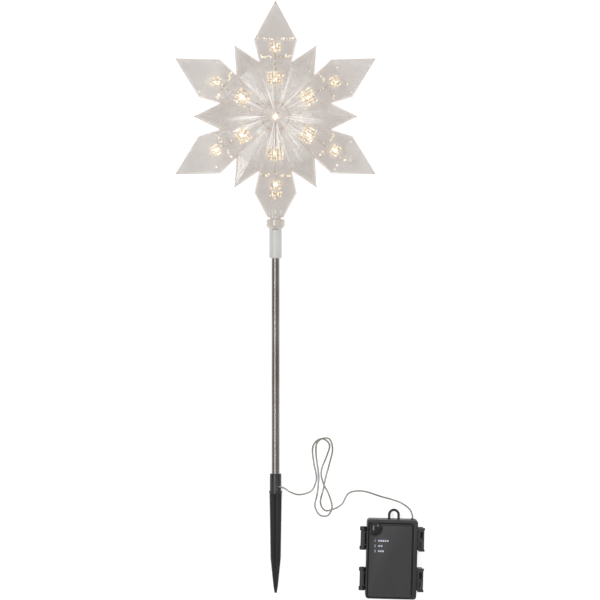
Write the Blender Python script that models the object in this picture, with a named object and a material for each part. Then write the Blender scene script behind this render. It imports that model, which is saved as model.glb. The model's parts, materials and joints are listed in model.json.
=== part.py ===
"""A lit snowflake garden stake with its battery box, lying on its back on a flat surface.

The stake runs along Y with the snowflake at +Y and the ground spike at -Y, and +Z is up. Stake pieces are
written in a stake frame: origin at the snowflake's centre, +Y along the pole towards the top tip, +Z out of
the front face. Box pieces are written in a box frame: origin on the surface under the box's centre. Metres.
"""

import math

import bmesh
import bpy
from mathutils import Matrix, Vector

MM = 0.001

# Where the two groups lie
SNOWFLAKE_X = -29.1 * MM
SNOWFLAKE_Y = 220.7 * MM
SNOWFLAKE_HEIGHT = 17.45 * MM
BOX_X = 110.1 * MM
BOX_Y = -310.2 * MM
BOX_TURN = math.radians(-1.5)

GAP = 0.3 * MM

# Snowflake outline, measured from its centre: along an arm, and half the width there
ARMS = 6
TIP = 139.3 * MM
SHOULDER = 91.7 * MM
SHOULDER_HALF = 26.3 * MM
NOTCH = 65.4 * MM
NOTCH_HALF = 19.5 * MM
SMALL_POINT = 98.8 * MM
STEM_SHOULDER = 91.6 * MM
STEM_SHOULDER_HALF = 25.9 * MM
NECK = 121.3 * MM
NECK_HALF = 9.8 * MM
STEM_ARM = 3

# Snowflake facets: heights of the front face above the seam plane
SEAM = GAP / 2
RIM_SLOPE = 1.6 * MM
SHELL_WALL = 1.4 * MM
FACE_WALL = 1.6 * MM
TIP_RISE = 3.6 * MM
SHOULDER_RISE = 12.0 * MM
NOTCH_RISE = 10.5 * MM
POINT_RISE = 4.2 * MM
NECK_RISE = 8.0 * MM
STRIP_END = 54.5 * MM
STRIP_END_HALF = 13.0 * MM
STRIP_END_RISE = 15.2 * MM
POINT_RIDGE = 63.0 * MM
POINT_RIDGE_RISE = 12.8 * MM
HUB = 16.5 * MM
HUB_STRIP_HALF = 6.8 * MM
HUB_STRIP_RISE = 17.0 * MM
HUB_VALLEY_RISE = 15.4 * MM
HUB_CENTRE_RISE = 16.0 * MM

# Spigot under the snowflake, and the boss that locates the two shells
SPIGOT_RADIUS = 6.5 * MM
SPIGOT_BORE = 3.2 * MM
SPIGOT_END = 131.2 * MM
BOSS_ARM = 2
BOSS_ALONG = 102.0 * MM
BOSS_RADIUS = 4.0 * MM

# Lights and their leads
LED_INNER = 45.0 * MM
LED_OUTER = 80.5 * MM
LED_BASE = -3.4 * MM
POST_RADIUS = 2.6 * MM
POST_TOP = -5.0 * MM
LEAD_RADIUS = 0.5 * MM
LEAD_HEIGHT = -4.2 * MM

# Pole and its fittings: distances down the stake from the snowflake's centre
COLLAR_TOP = 123.2 * MM
COLLAR_BOTTOM = 131.7 * MM
COLLAR_TAPER = 135.5 * MM
COLLAR_RADIUS = 11.1 * MM
SLEEVE_RADIUS = 7.6 * MM
SLEEVE_BOTTOM = 170.3 * MM
POLE_RADIUS = 4.8 * MM
POLE_WALL = 0.5 * MM
POLE_TOP = 136.7 * MM
POLE_BOTTOM = 440.7 * MM
SOCKET_TOP = 429.3 * MM
SOCKET_FLOOR = 447.7 * MM
SOCKET_RADIUS = 7.0 * MM
FLANGE_TOP = 450.1 * MM
FLANGE_BOTTOM = 452.7 * MM
FLANGE_RADIUS = 8.0 * MM
BLADE_MIDDLE = 531.4 * MM
BLADE_TIP = 573.1 * MM
BLADE_TURN = math.radians(16)
CORD_HOLE = 444.7 * MM
CORD_HOLE_RADIUS = 1.6 * MM
CORD_HOLE_TURN = math.radians(39)

# Battery box
BOX_WIDE = 61.0 * MM
BOX_LONG = 95.0 * MM
BOX_CORNER = 3.6 * MM
BASE_TOP = 19.0 * MM
BASE_WALL = 2.5 * MM
BASE_FLOOR = 2.0 * MM
LID_BOTTOM = BASE_TOP + GAP
LID_RIM_TOP = 25.5 * MM
LID_TOP = 28.0 * MM
LID_CEILING = 23.0 * MM
GASKET_TOP = 20.0 * MM
GASKET_IN = 1.5 * MM
GASKET_WIDE = 2.0 * MM
BUTTON_X = -20.4 * MM
BUTTON_Y = 36.9 * MM
BUTTON_RADIUS = 7.2 * MM
BUTTON_STEM = 4.2 * MM
FITTING_Y = 24.3 * MM
FITTING_HALF = 14.0 * MM
HINGE_X = -34.9 * MM
HINGE_Z = 18.5 * MM
HINGE_PIN = 1.3 * MM
LATCH_X = 34.7 * MM
LATCH_Z = 7.0 * MM
LATCH_PIN = 1.2 * MM
LOOP_X = 1.8 * MM
LOOP_HALF = 7.15 * MM
LOOP_BAND = 3.0 * MM
LOOP_TALL = 12.2 * MM
LOOP_Z = 9.5 * MM
GLAND_X = 24.1 * MM
GLAND_Z = 9.0 * MM
CELL_RADIUS = 7.25 * MM
CELL_LONG = 50.5 * MM
CELL_PITCH = 15.5 * MM
CELL_END_Y = 12.4 * MM
BOARD_Z = 12.4 * MM

# Lead from the spike to the box: points down its middle in world metres
CORD_RADIUS = 1.05 * MM
CORD_SPACING = 7.5 * MM
CORD_ROUTE = (
    (-0.0272, -0.2239, 0.01050),
    (-0.0252, -0.2240, 0.01300),
    (-0.0229, -0.2242, 0.01510),
    (-0.0197, -0.2250, 0.01590),
    (-0.0164, -0.2269, 0.01480),
    (-0.0125, -0.2299, 0.01130),
    (-0.0035, -0.2340, 0.00300),
    (0.0060, -0.2334, 0.00105),
    (0.0151, -0.2286, 0.00105),
    (0.0201, -0.2148, 0.00105),
    (0.0169, -0.1960, 0.00105),
    (0.0154, -0.1785, 0.00105),
    (0.0205, -0.1694, 0.00105),
    (0.0286, -0.1672, 0.00105),
    (0.0359, -0.1746, 0.00105),
    (0.0326, -0.1875, 0.00105),
    (0.0263, -0.2045, 0.00105),
    (0.0276, -0.2186, 0.00105),
    (0.0352, -0.2345, 0.00105),
    (0.0389, -0.2495, 0.00105),
    (0.0340, -0.2594, 0.00105),
    (0.0242, -0.2590, 0.00105),
    (0.0183, -0.2480, 0.00105),
    (0.0213, -0.2320, 0.00105),
    (0.0228, -0.2120, 0.00105),
    (0.0199, -0.1880, 0.00110),
    (0.0202, -0.1736, 0.00300),
    (0.0266, -0.1668, 0.00360),
    (0.0360, -0.1674, 0.00160),
    (0.0396, -0.1795, 0.00105),
    (0.0361, -0.1960, 0.00110),
    (0.0310, -0.2145, 0.00320),
    (0.0282, -0.2285, 0.00310),
    (0.0249, -0.2435, 0.00110),
    (0.0296, -0.2528, 0.00200),
    (0.0384, -0.2524, 0.00360),
    (0.0504, -0.2462, 0.00110),
    (0.0595, -0.2324, 0.00105),
    (0.0765, -0.2302, 0.00105),
    (0.0970, -0.2363, 0.00105),
    (0.1195, -0.2430, 0.00200),
    (0.1318, -0.2510, 0.00690),
    (0.1354, -0.2586, 0.00900),
    (0.1355, -0.2620, 0.00900),
)

COLOURS = {
    "clear_plastic": ((0.80, 0.79, 0.77, 1), 0.08, 0.0),
    "warm_lamp": ((1.00, 0.93, 0.74, 1), 0.15, 0.0),
    "copper_lead": ((0.62, 0.42, 0.26, 1), 0.35, 0.6),
    "frosted_collar": ((0.70, 0.67, 0.62, 1), 0.30, 0.0),
    "white_plastic": ((0.72, 0.72, 0.69, 1), 0.40, 0.0),
    "steel": ((0.55, 0.52, 0.50, 1), 0.18, 1.0),
    "black_plastic": ((0.035, 0.035, 0.037, 1), 0.50, 0.0),
    "clear_cord": ((0.45, 0.44, 0.41, 1), 0.20, 0.0),
    "charcoal_plastic": ((0.060, 0.057, 0.060, 1), 0.55, 0.0),
    "gloss_black": ((0.010, 0.010, 0.011, 1), 0.12, 0.0),
    "gasket_rubber": ((0.020, 0.020, 0.020, 1), 0.80, 0.0),
    "nickel": ((0.60, 0.58, 0.54, 1), 0.30, 1.0),
    "cell_wrap": ((0.10, 0.22, 0.16, 1), 0.35, 0.1),
    "board_green": ((0.02, 0.16, 0.06, 1), 0.45, 0.0),
}


# ---------- helpers ----------


def clear_scene():
    for thing in list(bpy.data.objects):
        bpy.data.objects.remove(thing, do_unlink=True)
    bpy.context.scene.unit_settings.scale_length = 1.0


def material(name):
    """The named material, made the first time that it's asked for."""
    found = bpy.data.materials.get(name)
    if found:
        return found
    colour, roughness, metallic = COLOURS[name]
    made = bpy.data.materials.new(name)
    made.use_nodes = True
    shader = made.node_tree.nodes["Principled BSDF"]
    shader.inputs["Base Color"].default_value = colour
    shader.inputs["Roughness"].default_value = roughness
    shader.inputs["Metallic"].default_value = metallic
    made.diffuse_color = colour
    return made


def empty(name, location, parent=None):
    """An empty that pieces are parented to. Pieces keep the coordinates of its parent's frame."""
    made = bpy.data.objects.new(name, None)
    made.location = location
    made.parent = parent
    bpy.context.scene.collection.objects.link(made)
    return made


def link(made, colour, parent, axis):
    made.data.materials.append(material(colour))
    made.parent = axis or parent
    if axis:
        made.location = -axis.location
    bpy.context.scene.collection.objects.link(made)
    return made


def mesh_piece(name, points, faces, colour, parent, axis=None, smooth=False):
    """A mesh object. axis is the empty on the piece's joint axis, where it has one."""
    data = bpy.data.meshes.new(name)
    data.from_pydata([tuple(point) for point in points], [], faces)
    work = bmesh.new()
    work.from_mesh(data)
    bmesh.ops.recalc_face_normals(work, faces=work.faces)
    if work.calc_volume(signed=True) < 0:
        bmesh.ops.reverse_faces(work, faces=work.faces)
    work.to_mesh(data)
    work.free()
    if smooth:
        data.shade_smooth()
        data.set_sharp_from_angle(angle=math.radians(32))
    return link(bpy.data.objects.new(name, data), colour, parent, axis)


def loft_faces(rings, closed):
    """Faces that join rings of equal length. Open lofts are capped at both ends."""
    count = len(rings[0])
    faces = []
    last = len(rings) if closed else len(rings) - 1
    for level in range(last):
        low = level * count
        high = (level + 1) % len(rings) * count
        for step in range(count):
            after = (step + 1) % count
            faces.append((low + step, low + after, high + after, high + step))
    if not closed:
        faces.append(tuple(range(count)))
        faces.append(tuple(range((len(rings) - 1) * count, len(rings) * count)))
    return faces


def loft(name, rings, colour, parent, axis=None, closed=False, smooth=False):
    points = [point for ring in rings for point in ring]
    return mesh_piece(name, points, loft_faces(rings, closed), colour, parent, axis, smooth)


def circle(radius, sides):
    turn = 2 * math.pi / sides
    return [(radius * math.cos(turn * i), radius * math.sin(turn * i)) for i in range(sides)]


def lathe_rings(profile, sides, centre=(0, 0, 0), along="Z"):
    """Rings of (radius, height) pairs round a line through centre."""
    rings = []
    x, y, z = centre
    for radius, height in profile:
        ring = []
        for across, up in circle(radius, sides):
            if along == "Z":
                ring.append((x + across, y + up, z + height))
            else:
                ring.append((x + across, y + height, z + up))
        rings.append(ring)
    return rings


def lathe(name, profile, sides, colour, parent, centre=(0, 0, 0), along="Z", closed=False, axis=None):
    rings = lathe_rings(profile, sides, centre, along)
    return loft(name, rings, colour, parent, axis, closed, smooth=True)


def block_rings(low, high):
    """A rectangular block as two rings, from its two opposite corners."""
    (x0, y0, z0), (x1, y1, z1) = low, high
    return [[(x0, y0, z), (x1, y0, z), (x1, y1, z), (x0, y1, z)] for z in (z0, z1)]


def rounded_ring(x0, x1, y0, y1, corner, z, steps=4):
    """A rectangle with round corners at one height."""
    points = []
    corners = ((x1, y1, 0), (x0, y1, 90), (x0, y0, 180), (x1, y0, 270))
    for x, y, start in corners:
        middle_x = x - corner if x == x1 else x + corner
        middle_y = y - corner if y == y1 else y + corner
        for step in range(steps + 1):
            angle = math.radians(start + 90 * step / steps)
            points.append((middle_x + corner * math.cos(angle), middle_y + corner * math.sin(angle), z))
    return points


def apply_boolean(target, tool, operation):
    """Combines target with tool and removes the tool."""
    bpy.context.view_layer.update()
    modifier = target.modifiers.new("cut", "BOOLEAN")
    modifier.operation = operation
    modifier.solver = "EXACT"
    modifier.object = tool
    graph = bpy.context.evaluated_depsgraph_get()
    finished = bpy.data.meshes.new_from_object(target.evaluated_get(graph))
    target.modifiers.clear()
    target.data = finished
    bpy.data.objects.remove(tool, do_unlink=True)


def cut(target, rings, closed=False):
    tool = loft("tool", rings, "black_plastic", target.parent, None, closed)
    tool.location = target.location
    apply_boolean(target, tool, "DIFFERENCE")


def add(target, rings, closed=False):
    tool = loft("tool", rings, "black_plastic", target.parent, None, closed)
    tool.location = target.location
    apply_boolean(target, tool, "UNION")


def wire(name, route, radius, colour, parent, resolution=1):
    """A round lead along a list of points, with flat closed ends."""
    data = bpy.data.curves.new(name, "CURVE")
    data.dimensions = "3D"
    data.bevel_depth = radius
    data.bevel_resolution = resolution
    data.use_fill_caps = True
    line = data.splines.new("POLY")
    line.points.add(len(route) - 1)
    for point, place in zip(line.points, route):
        point.co = (*place, 1)
    return link(bpy.data.objects.new(name, data), colour, parent, None)


def smooth_route(route, spacing, lowest):
    """Points on a smooth curve through the route's points, about one spacing apart and none below lowest."""
    places = [Vector(place) for place in route]
    places = [2 * places[0] - places[1], *places, 2 * places[-1] - places[-2]]
    smooth = []
    for a, b, c, d in zip(places, places[1:], places[2:], places[3:]):
        steps = max(1, round((c - b).length / spacing))
        for step in range(steps):
            t = step / steps
            curve = 2 * b + (c - a) * t + (2 * a - 5 * b + 4 * c - d) * t**2 + (3 * b - a - 3 * c + d) * t**3
            smooth.append(curve / 2)
    smooth.append(places[-2])
    for place in smooth:
        place.z = max(place.z, lowest)
    return smooth


# ---------- snowflake ----------


def arm_angle(arm):
    return math.radians(90 - 60 * arm)


def on_arm(arm, along, across):
    """x and y of a point given along an arm and across it, anticlockwise positive."""
    angle = arm_angle(arm)
    x = along * math.cos(angle) - across * math.sin(angle)
    y = along * math.sin(angle) + across * math.cos(angle)
    return x, y


def snowflake_outline():
    """(x, y, height of the face there, kind) round the outline, clockwise from the top arm."""
    outline = []
    for arm in range(ARMS):
        stem = arm == STEM_ARM
        shoulder = (STEM_SHOULDER, STEM_SHOULDER_HALF) if stem else (SHOULDER, SHOULDER_HALF)
        outline.append((*on_arm(arm, NOTCH, NOTCH_HALF), NOTCH_RISE, "notch"))
        outline.append((*on_arm(arm, shoulder[0], shoulder[1]), SHOULDER_RISE, "shoulder"))
        if stem:
            outline.append((*on_arm(arm, NECK, NECK_HALF), NECK_RISE, "neck"))
            outline.append((*on_arm(arm, NECK, -NECK_HALF), NECK_RISE, "neck"))
        else:
            outline.append((*on_arm(arm, TIP, 0), TIP_RISE, "tip"))
        outline.append((*on_arm(arm, shoulder[0], -shoulder[1]), SHOULDER_RISE, "shoulder"))
        outline.append((*on_arm(arm, NOTCH, -NOTCH_HALF), NOTCH_RISE, "notch"))
        outline.append((*on_arm(arm + 0.5, SMALL_POINT, 0), POINT_RISE, "point"))
    return outline


def inset(outline, depth):
    """The outline moved inwards by depth, each side kept parallel."""
    moved = []
    count = len(outline)
    for i in range(count):
        before = Vector(outline[i - 1][:2])
        here = Vector(outline[i][:2])
        after = Vector(outline[(i + 1) % count][:2])
        into = (here - before).normalized()
        out = (after - here).normalized()
        normal = Vector((into.y, -into.x)) + Vector((out.y, -out.x))
        normal.normalize()
        reach = depth / normal.dot(Vector((into.y, -into.x)))
        moved.append(here + normal * reach)
    return moved


def snowflake_shell(name, side, parent):
    """Half of the clear body. side is 1 for the front and -1 for the back."""
    outline = snowflake_outline()
    count = len(outline)
    rises = [rise for _, _, rise, _ in outline]
    points = []

    def level(depth, drop):
        """Adds a ring of the outline at this inset; drop None puts it at the seam."""
        first = len(points)
        for place, rise in zip(inset(outline, depth), rises):
            height = SEAM if drop is None else rise - drop
            points.append((place.x, place.y, side * height))
        return first

    def face_points(drop):
        """Adds the points inside the face: per arm two strip ends and two hub ends, then ridge and valley."""
        first = len(points)
        for arm in range(ARMS):
            for across in (1, -1):
                place = on_arm(arm, STRIP_END, across * STRIP_END_HALF)
                points.append((*place, side * (STRIP_END_RISE - drop)))
            hub_along = math.sqrt(HUB**2 - HUB_STRIP_HALF**2)
            for across in (1, -1):
                place = on_arm(arm, hub_along, across * HUB_STRIP_HALF)
                points.append((*place, side * (HUB_STRIP_RISE - drop)))
            points.append((*on_arm(arm + 0.5, POINT_RIDGE, 0), side * (POINT_RIDGE_RISE - drop)))
            points.append((*on_arm(arm + 0.5, HUB, 0), side * (HUB_VALLEY_RISE - drop)))
        points.append((0, 0, side * (HUB_CENTRE_RISE - drop)))
        return first

    def surface(rim, inside):
        """The facets of one face of the shell."""
        made = []
        corner = 0
        hub_centre = inside + 6 * ARMS
        for arm in range(ARMS):
            size = 7 if arm == STEM_ARM else 6
            names = [rim + corner + i for i in range(size)]
            corner += size
            notch_a, shoulder_a = names[0], names[1]
            ends = names[2:-3]
            shoulder_b, notch_b, point = names[-3], names[-2], names[-1]
            end_a, end_b, hub_a, hub_b, ridge, valley = (inside + 6 * arm + i for i in range(6))
            valley_before = inside + 6 * ((arm - 1) % ARMS) + 5
            next_notch = rim + corner % count
            made.append((shoulder_a, *ends, shoulder_b))
            made.append((shoulder_a, shoulder_b, end_b, end_a))
            made.append((notch_a, shoulder_a, end_a))
            made.append((notch_b, end_b, shoulder_b))
            made.append((end_a, end_b, hub_b, hub_a))
            made.append((notch_a, end_a, hub_a))
            made.append((notch_a, hub_a, valley_before))
            made.append((notch_b, hub_b, end_b))
            made.append((notch_b, valley, hub_b))
            made.append((notch_b, ridge, valley))
            made.append((notch_b, point, ridge))
            made.append((point, next_notch, ridge))
            made.append((ridge, next_notch, valley))
            made.append((hub_a, hub_b, hub_centre))
            made.append((hub_b, valley, hub_centre))
            made.append((valley_before, hub_a, hub_centre))
        return made

    outer_seam = level(0, None)
    outer_rim = level(RIM_SLOPE, 0)
    inner_rim = level(RIM_SLOPE + SHELL_WALL, FACE_WALL)
    inner_seam = level(SHELL_WALL, None)
    outer_face = face_points(0)
    inner_face = face_points(FACE_WALL)
    faces = surface(outer_rim, outer_face)
    faces += surface(inner_rim, inner_face)
    for low, high in ((outer_seam, outer_rim), (inner_rim, inner_seam), (inner_seam, outer_seam)):
        for i in range(count):
            after = (i + 1) % count
            faces.append((low + i, low + after, high + after, high + i))
    shell = mesh_piece(name, points, faces, "clear_plastic", parent)

    half = []
    for angle in range(0, 181, 15):
        across = SPIGOT_RADIUS * math.cos(math.radians(angle))
        up = max(SPIGOT_RADIUS * math.sin(math.radians(angle)), SEAM)
        half.append((across, up))
    spigot = [[(x, -end, side * z) for x, z in half] for end in (NECK - 2.5 * MM, SPIGOT_END)]
    add(shell, spigot)
    bore = [(SPIGOT_BORE, -NECK + 6 * MM), (SPIGOT_BORE, -SPIGOT_END - 2 * MM)]
    cut(shell, lathe_rings(bore, 16, along="Y"))
    return shell


def light_places():
    """(name, x, y, height of the back shell's inside there) of every light."""
    places = [("led_centre", 0, 0, HUB_CENTRE_RISE - FACE_WALL)]
    strip_slope = (HUB_STRIP_RISE - STRIP_END_RISE) / (STRIP_END - HUB)
    arm_slope = (STRIP_END_RISE - SHOULDER_RISE) / (SHOULDER - STRIP_END)
    inner_rise = STRIP_END_RISE + (STRIP_END - LED_INNER) * strip_slope - FACE_WALL
    outer_rise = STRIP_END_RISE - (LED_OUTER - STRIP_END) * arm_slope - FACE_WALL
    for arm in range(ARMS):
        places.append((f"led_inner_{arm + 1}", *on_arm(arm, LED_INNER, 0), inner_rise))
        places.append((f"led_outer_{arm + 1}", *on_arm(arm, LED_OUTER, 0), outer_rise))
    return places


def build_posts(back_shell):
    """Posts inside the back shell, one under each light, and the boss that locates the front shell."""
    into_wall = 0.7 * MM
    for _, x, y, rise in light_places():
        add(
            back_shell,
            lathe_rings([(POST_RADIUS, -rise - into_wall), (POST_RADIUS, POST_TOP)], 8, (x, y, 0)),
        )
    x, y = on_arm(BOSS_ARM, BOSS_ALONG, 0)
    span = TIP - SHOULDER
    rise = SHOULDER_RISE - (BOSS_ALONG + BOSS_RADIUS - SHOULDER) / span * (SHOULDER_RISE - TIP_RISE)
    reach = rise - FACE_WALL - 2 * GAP
    add(back_shell, lathe_rings([(BOSS_RADIUS, -reach - GAP), (BOSS_RADIUS, reach)], 16, (x, y, 0)))


def build_lights(parent):
    profile = (
        (3.0, 0.0),
        (3.0, 1.0),
        (2.5, 1.1),
        (2.5, 4.2),
        (2.1, 5.6),
        (1.2, 6.5),
        (0.4, 6.8),
    )
    shape = [(radius * MM, LED_BASE + height * MM) for radius, height in profile]
    for name, x, y, _ in light_places():
        lathe(name, shape, 12, "warm_lamp", parent, (x, y, 0))


def build_arm_leads(parent):
    """A lead along each arm, under its two lights, lying a little unevenly."""
    shape = ((4.5, 0.0), (14.0, 0.9), (28.0, -0.7), (38.0, 0.2))
    shape += ((45.0, 0.0), (57.0, 1.1), (70.0, -0.6), (81.0, 0.0))
    for arm in range(ARMS):
        lean = 1 if arm % 2 else -1
        route = [(*on_arm(arm, along * MM, lean * across * MM), LEAD_HEIGHT) for along, across in shape]
        wire(f"arm_lead_{arm + 1}", route, LEAD_RADIUS, "copper_lead", parent)


def build_head_lead(parent):
    """The pair of conductors from the lights down through the neck into the top of the pole."""
    shape = ((84.0, 0.0, -4.2), (92.0, 1.6, -4.0), (102.0, -0.8, -3.0))
    shape += ((113.0, 0.6, -1.2), (122.0, 0.0, 0.0), (150.0, 0.0, 0.0))
    route = [(across * MM, -down * MM, height * MM) for down, across, height in shape]
    wire("head_lead", route, 0.8 * MM, "copper_lead", parent)


# ---------- pole and spike ----------


def build_collar(parent):
    """Collar round the snowflake's spigot, with a plug below it that goes into the pole."""
    bore = SPIGOT_RADIUS + GAP
    plug = POLE_RADIUS - POLE_WALL - GAP
    profile = (
        (bore, -COLLAR_TOP),
        (COLLAR_RADIUS - 0.8 * MM, -COLLAR_TOP),
        (COLLAR_RADIUS, -COLLAR_TOP - 0.8 * MM),
        (COLLAR_RADIUS, -COLLAR_BOTTOM),
        (SLEEVE_RADIUS, -COLLAR_TAPER),
        (plug, -COLLAR_TAPER),
        (plug, -150.5 * MM),
        (plug - 1.2 * MM, -150.5 * MM),
        (plug - 1.2 * MM, -SPIGOT_END - GAP),
        (bore, -SPIGOT_END - GAP),
    )
    lathe("neck_collar", profile, 32, "frosted_collar", parent, along="Y", closed=True)


def build_sleeve(parent):
    bore = POLE_RADIUS + GAP
    top = COLLAR_TAPER + GAP
    profile = (
        (bore, -top),
        (SLEEVE_RADIUS, -top),
        (SLEEVE_RADIUS, -SLEEVE_BOTTOM + 1.0 * MM),
        (SLEEVE_RADIUS - 0.9 * MM, -SLEEVE_BOTTOM),
        (bore, -SLEEVE_BOTTOM),
    )
    lathe("pole_sleeve", profile, 32, "white_plastic", parent, along="Y", closed=True)


def build_pole(parent):
    bore = POLE_RADIUS - POLE_WALL
    profile = ((bore, -POLE_TOP), (POLE_RADIUS, -POLE_TOP), (POLE_RADIUS, -POLE_BOTTOM), (bore, -POLE_BOTTOM))
    lathe("pole", profile, 32, "steel", parent, along="Y", closed=True)
    route = [
        (0, -152.0 * MM, 0),
        (0.8 * MM, -250 * MM, -1 * MM),
        (-0.6 * MM, -350 * MM, 0.5 * MM),
        (0, -439 * MM, 0),
    ]
    wire("pole_lead", route, 0.8 * MM, "clear_cord", parent)


def blade_ring(down, half, web):
    """A four-finned section of the spike."""
    ring = []
    for fin in range(4):
        angle = BLADE_TURN + math.radians(90 * fin)
        for across, out in ((web, half), (web, web)):
            x = out * math.sin(angle) + across * math.cos(angle)
            z = out * math.cos(angle) - across * math.sin(angle)
            ring.append((x, -down, z))
        next_angle = angle + math.radians(90)
        x = half * math.sin(next_angle) - web * math.cos(next_angle)
        z = half * math.cos(next_angle) + web * math.sin(next_angle)
        ring.append((x, -down, z))
    return ring


def build_spike(parent):
    """Socket for the pole, flange, and four-finned blade, moulded in one piece."""
    bore = POLE_RADIUS + GAP
    profile = (
        (bore, -SOCKET_FLOOR),
        (bore, -SOCKET_TOP),
        (SOCKET_RADIUS - 0.5 * MM, -SOCKET_TOP),
        (SOCKET_RADIUS, -SOCKET_TOP - 0.5 * MM),
        (SOCKET_RADIUS, -FLANGE_TOP),
        (FLANGE_RADIUS, -FLANGE_TOP),
        (FLANGE_RADIUS, -FLANGE_BOTTOM),
    )
    spike = lathe("ground_spike", profile, 32, "black_plastic", parent, along="Y")
    blade = [
        blade_ring(FLANGE_BOTTOM - 1 * MM, 7.3 * MM, 1.6 * MM),
        blade_ring(BLADE_MIDDLE, 6.05 * MM, 1.4 * MM),
        blade_ring(BLADE_TIP - 8 * MM, 2.6 * MM, 1.0 * MM),
        blade_ring(BLADE_TIP, 1.3 * MM, 0.7 * MM),
    ]
    add(spike, blade)
    hole = lathe_rings([(CORD_HOLE_RADIUS, 3.0 * MM), (CORD_HOLE_RADIUS, SOCKET_RADIUS + 1 * MM)], 12)
    turn = Matrix.Rotation(CORD_HOLE_TURN, 4, "Y")
    place = Matrix.Translation((0, -CORD_HOLE, 0))
    cut(spike, [[tuple(place @ turn @ Vector(point)) for point in ring] for ring in hole])


# ---------- battery box ----------


def box_ring(inward, z, corner=None):
    """The box's outline moved inwards, at one height."""
    half_x = BOX_WIDE / 2 - inward
    half_y = BOX_LONG / 2 - inward
    return rounded_ring(-half_x, half_x, -half_y, half_y, corner or max(BOX_CORNER - inward, 1.0 * MM), z)


def panel_ring(inward, z):
    """The raised panel's outline: close to the left and bottom edges, further in at the right and top."""
    return rounded_ring(
        -28.6 * MM + inward, 25.4 * MM - inward, -45.6 * MM + inward, 43.4 * MM - inward, 2.6 * MM - inward, z
    )


def build_base(parent):
    rings = [
        box_ring(0.8 * MM, 0),
        box_ring(0, 0.8 * MM),
        box_ring(0, BASE_TOP),
        box_ring(BASE_WALL, BASE_TOP),
        box_ring(BASE_WALL, BASE_FLOOR),
    ]
    base = loft("base_shell", rings, "charcoal_plastic", parent, smooth=True)
    inner_x = BOX_WIDE / 2 - BASE_WALL
    divider_y = CELL_END_Y + 2.2 * MM
    low = BASE_FLOOR - 0.5 * MM
    add(
        base,
        block_rings((-inner_x - 1 * MM, divider_y, low), (inner_x + 1 * MM, divider_y + 1.6 * MM, 11 * MM)),
    )
    for side in (-1, 1):
        x = side * CELL_PITCH / 2
        cells_low = CELL_END_Y - CELL_LONG + 5 * MM
        add(base, block_rings((x - 0.4 * MM, cells_low, low), (x + 0.4 * MM, CELL_END_Y - 5 * MM, 5 * MM)))
    add_hinge_knuckles(base)
    add_latch_ears(base)
    add_hang_loop(base)
    gland = [(2.5 * MM, BOX_LONG / 2 - BASE_WALL - 1 * MM), (2.5 * MM, BOX_LONG / 2 + 1 * MM)]
    cut(base, lathe_rings(gland, 16, (GLAND_X, 0, GLAND_Z), "Y"))
    return base


def add_hinge_knuckles(base):
    """Two hinge units on the left: a knob at both ends, joined to the wall and bored for the pin."""
    wall_in = -BOX_WIDE / 2 + 1 * MM
    for unit in (-1, 1):
        for end in (-1, 1):
            middle = unit * FITTING_Y
            y0, y1 = sorted((middle + end * 9.0 * MM, middle + end * FITTING_HALF))
            knob = [(3.4 * MM, y0), (4.0 * MM, y0 + 0.6 * MM), (4.0 * MM, y1 - 0.6 * MM), (3.4 * MM, y1)]
            add(base, lathe_rings(knob, 20, (HINGE_X, 0, HINGE_Z), "Y"))
            foot = ((HINGE_X, y0 + 0.4 * MM, 13.5 * MM), (wall_in, y1 - 0.4 * MM, 18.6 * MM))
            add(base, block_rings(*foot))
        shelf = ((HINGE_X + 1.6 * MM, middle - 9.8 * MM, 12 * MM), (wall_in, middle + 9.8 * MM, 14.9 * MM))
        add(base, block_rings(*shelf))
        bore = [(HINGE_PIN + GAP, middle - 15 * MM), (HINGE_PIN + GAP, middle + 15 * MM)]
        cut(base, lathe_rings(bore, 12, (HINGE_X, 0, HINGE_Z), "Y"))


def add_latch_ears(base):
    """Two pairs of ears on the right that carry the latch pins."""
    for unit in (-1, 1):
        middle = unit * FITTING_Y
        for end in (-1, 1):
            y0, y1 = sorted((middle + end * 11.2 * MM, middle + end * 13.8 * MM))
            add(base, block_rings((BOX_WIDE / 2 - 1 * MM, y0, 4.2 * MM), (LATCH_X + 2.6 * MM, y1, 9.8 * MM)))
        bore = [(LATCH_PIN + GAP, middle - 15 * MM), (LATCH_PIN + GAP, middle + 15 * MM)]
        cut(base, lathe_rings(bore, 12, (LATCH_X, 0, LATCH_Z), "Y"))


def add_hang_loop(base):
    """A flat-sided loop that stands out from the top edge of the base."""
    radius = LOOP_HALF - LOOP_BAND / 2
    straight = LOOP_TALL - LOOP_HALF
    edge = BOX_LONG / 2
    path = [(-radius, edge - 1.5 * MM, math.pi)]
    for step in range(13):
        angle = math.pi * (1 - step / 12)
        path.append((radius * math.cos(angle), edge + straight + radius * math.sin(angle), angle))
    path.append((radius, edge - 1.5 * MM, 0))
    band = LOOP_BAND / 2
    section = ((band, 0.6), (0.6 * band, 1.0), (-0.6 * band, 1.0), (-band, 0.6))
    section += ((-band, -0.6), (-0.6 * band, -1.0), (0.6 * band, -1.0), (band, -0.6))
    rings = []
    for x, y, angle in path:
        ring = []
        for out, up in section:
            ring.append((LOOP_X + x + out * math.cos(angle), y + out * math.sin(angle), LOOP_Z + up * band))
        rings.append(ring)
    add(base, rings)


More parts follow.
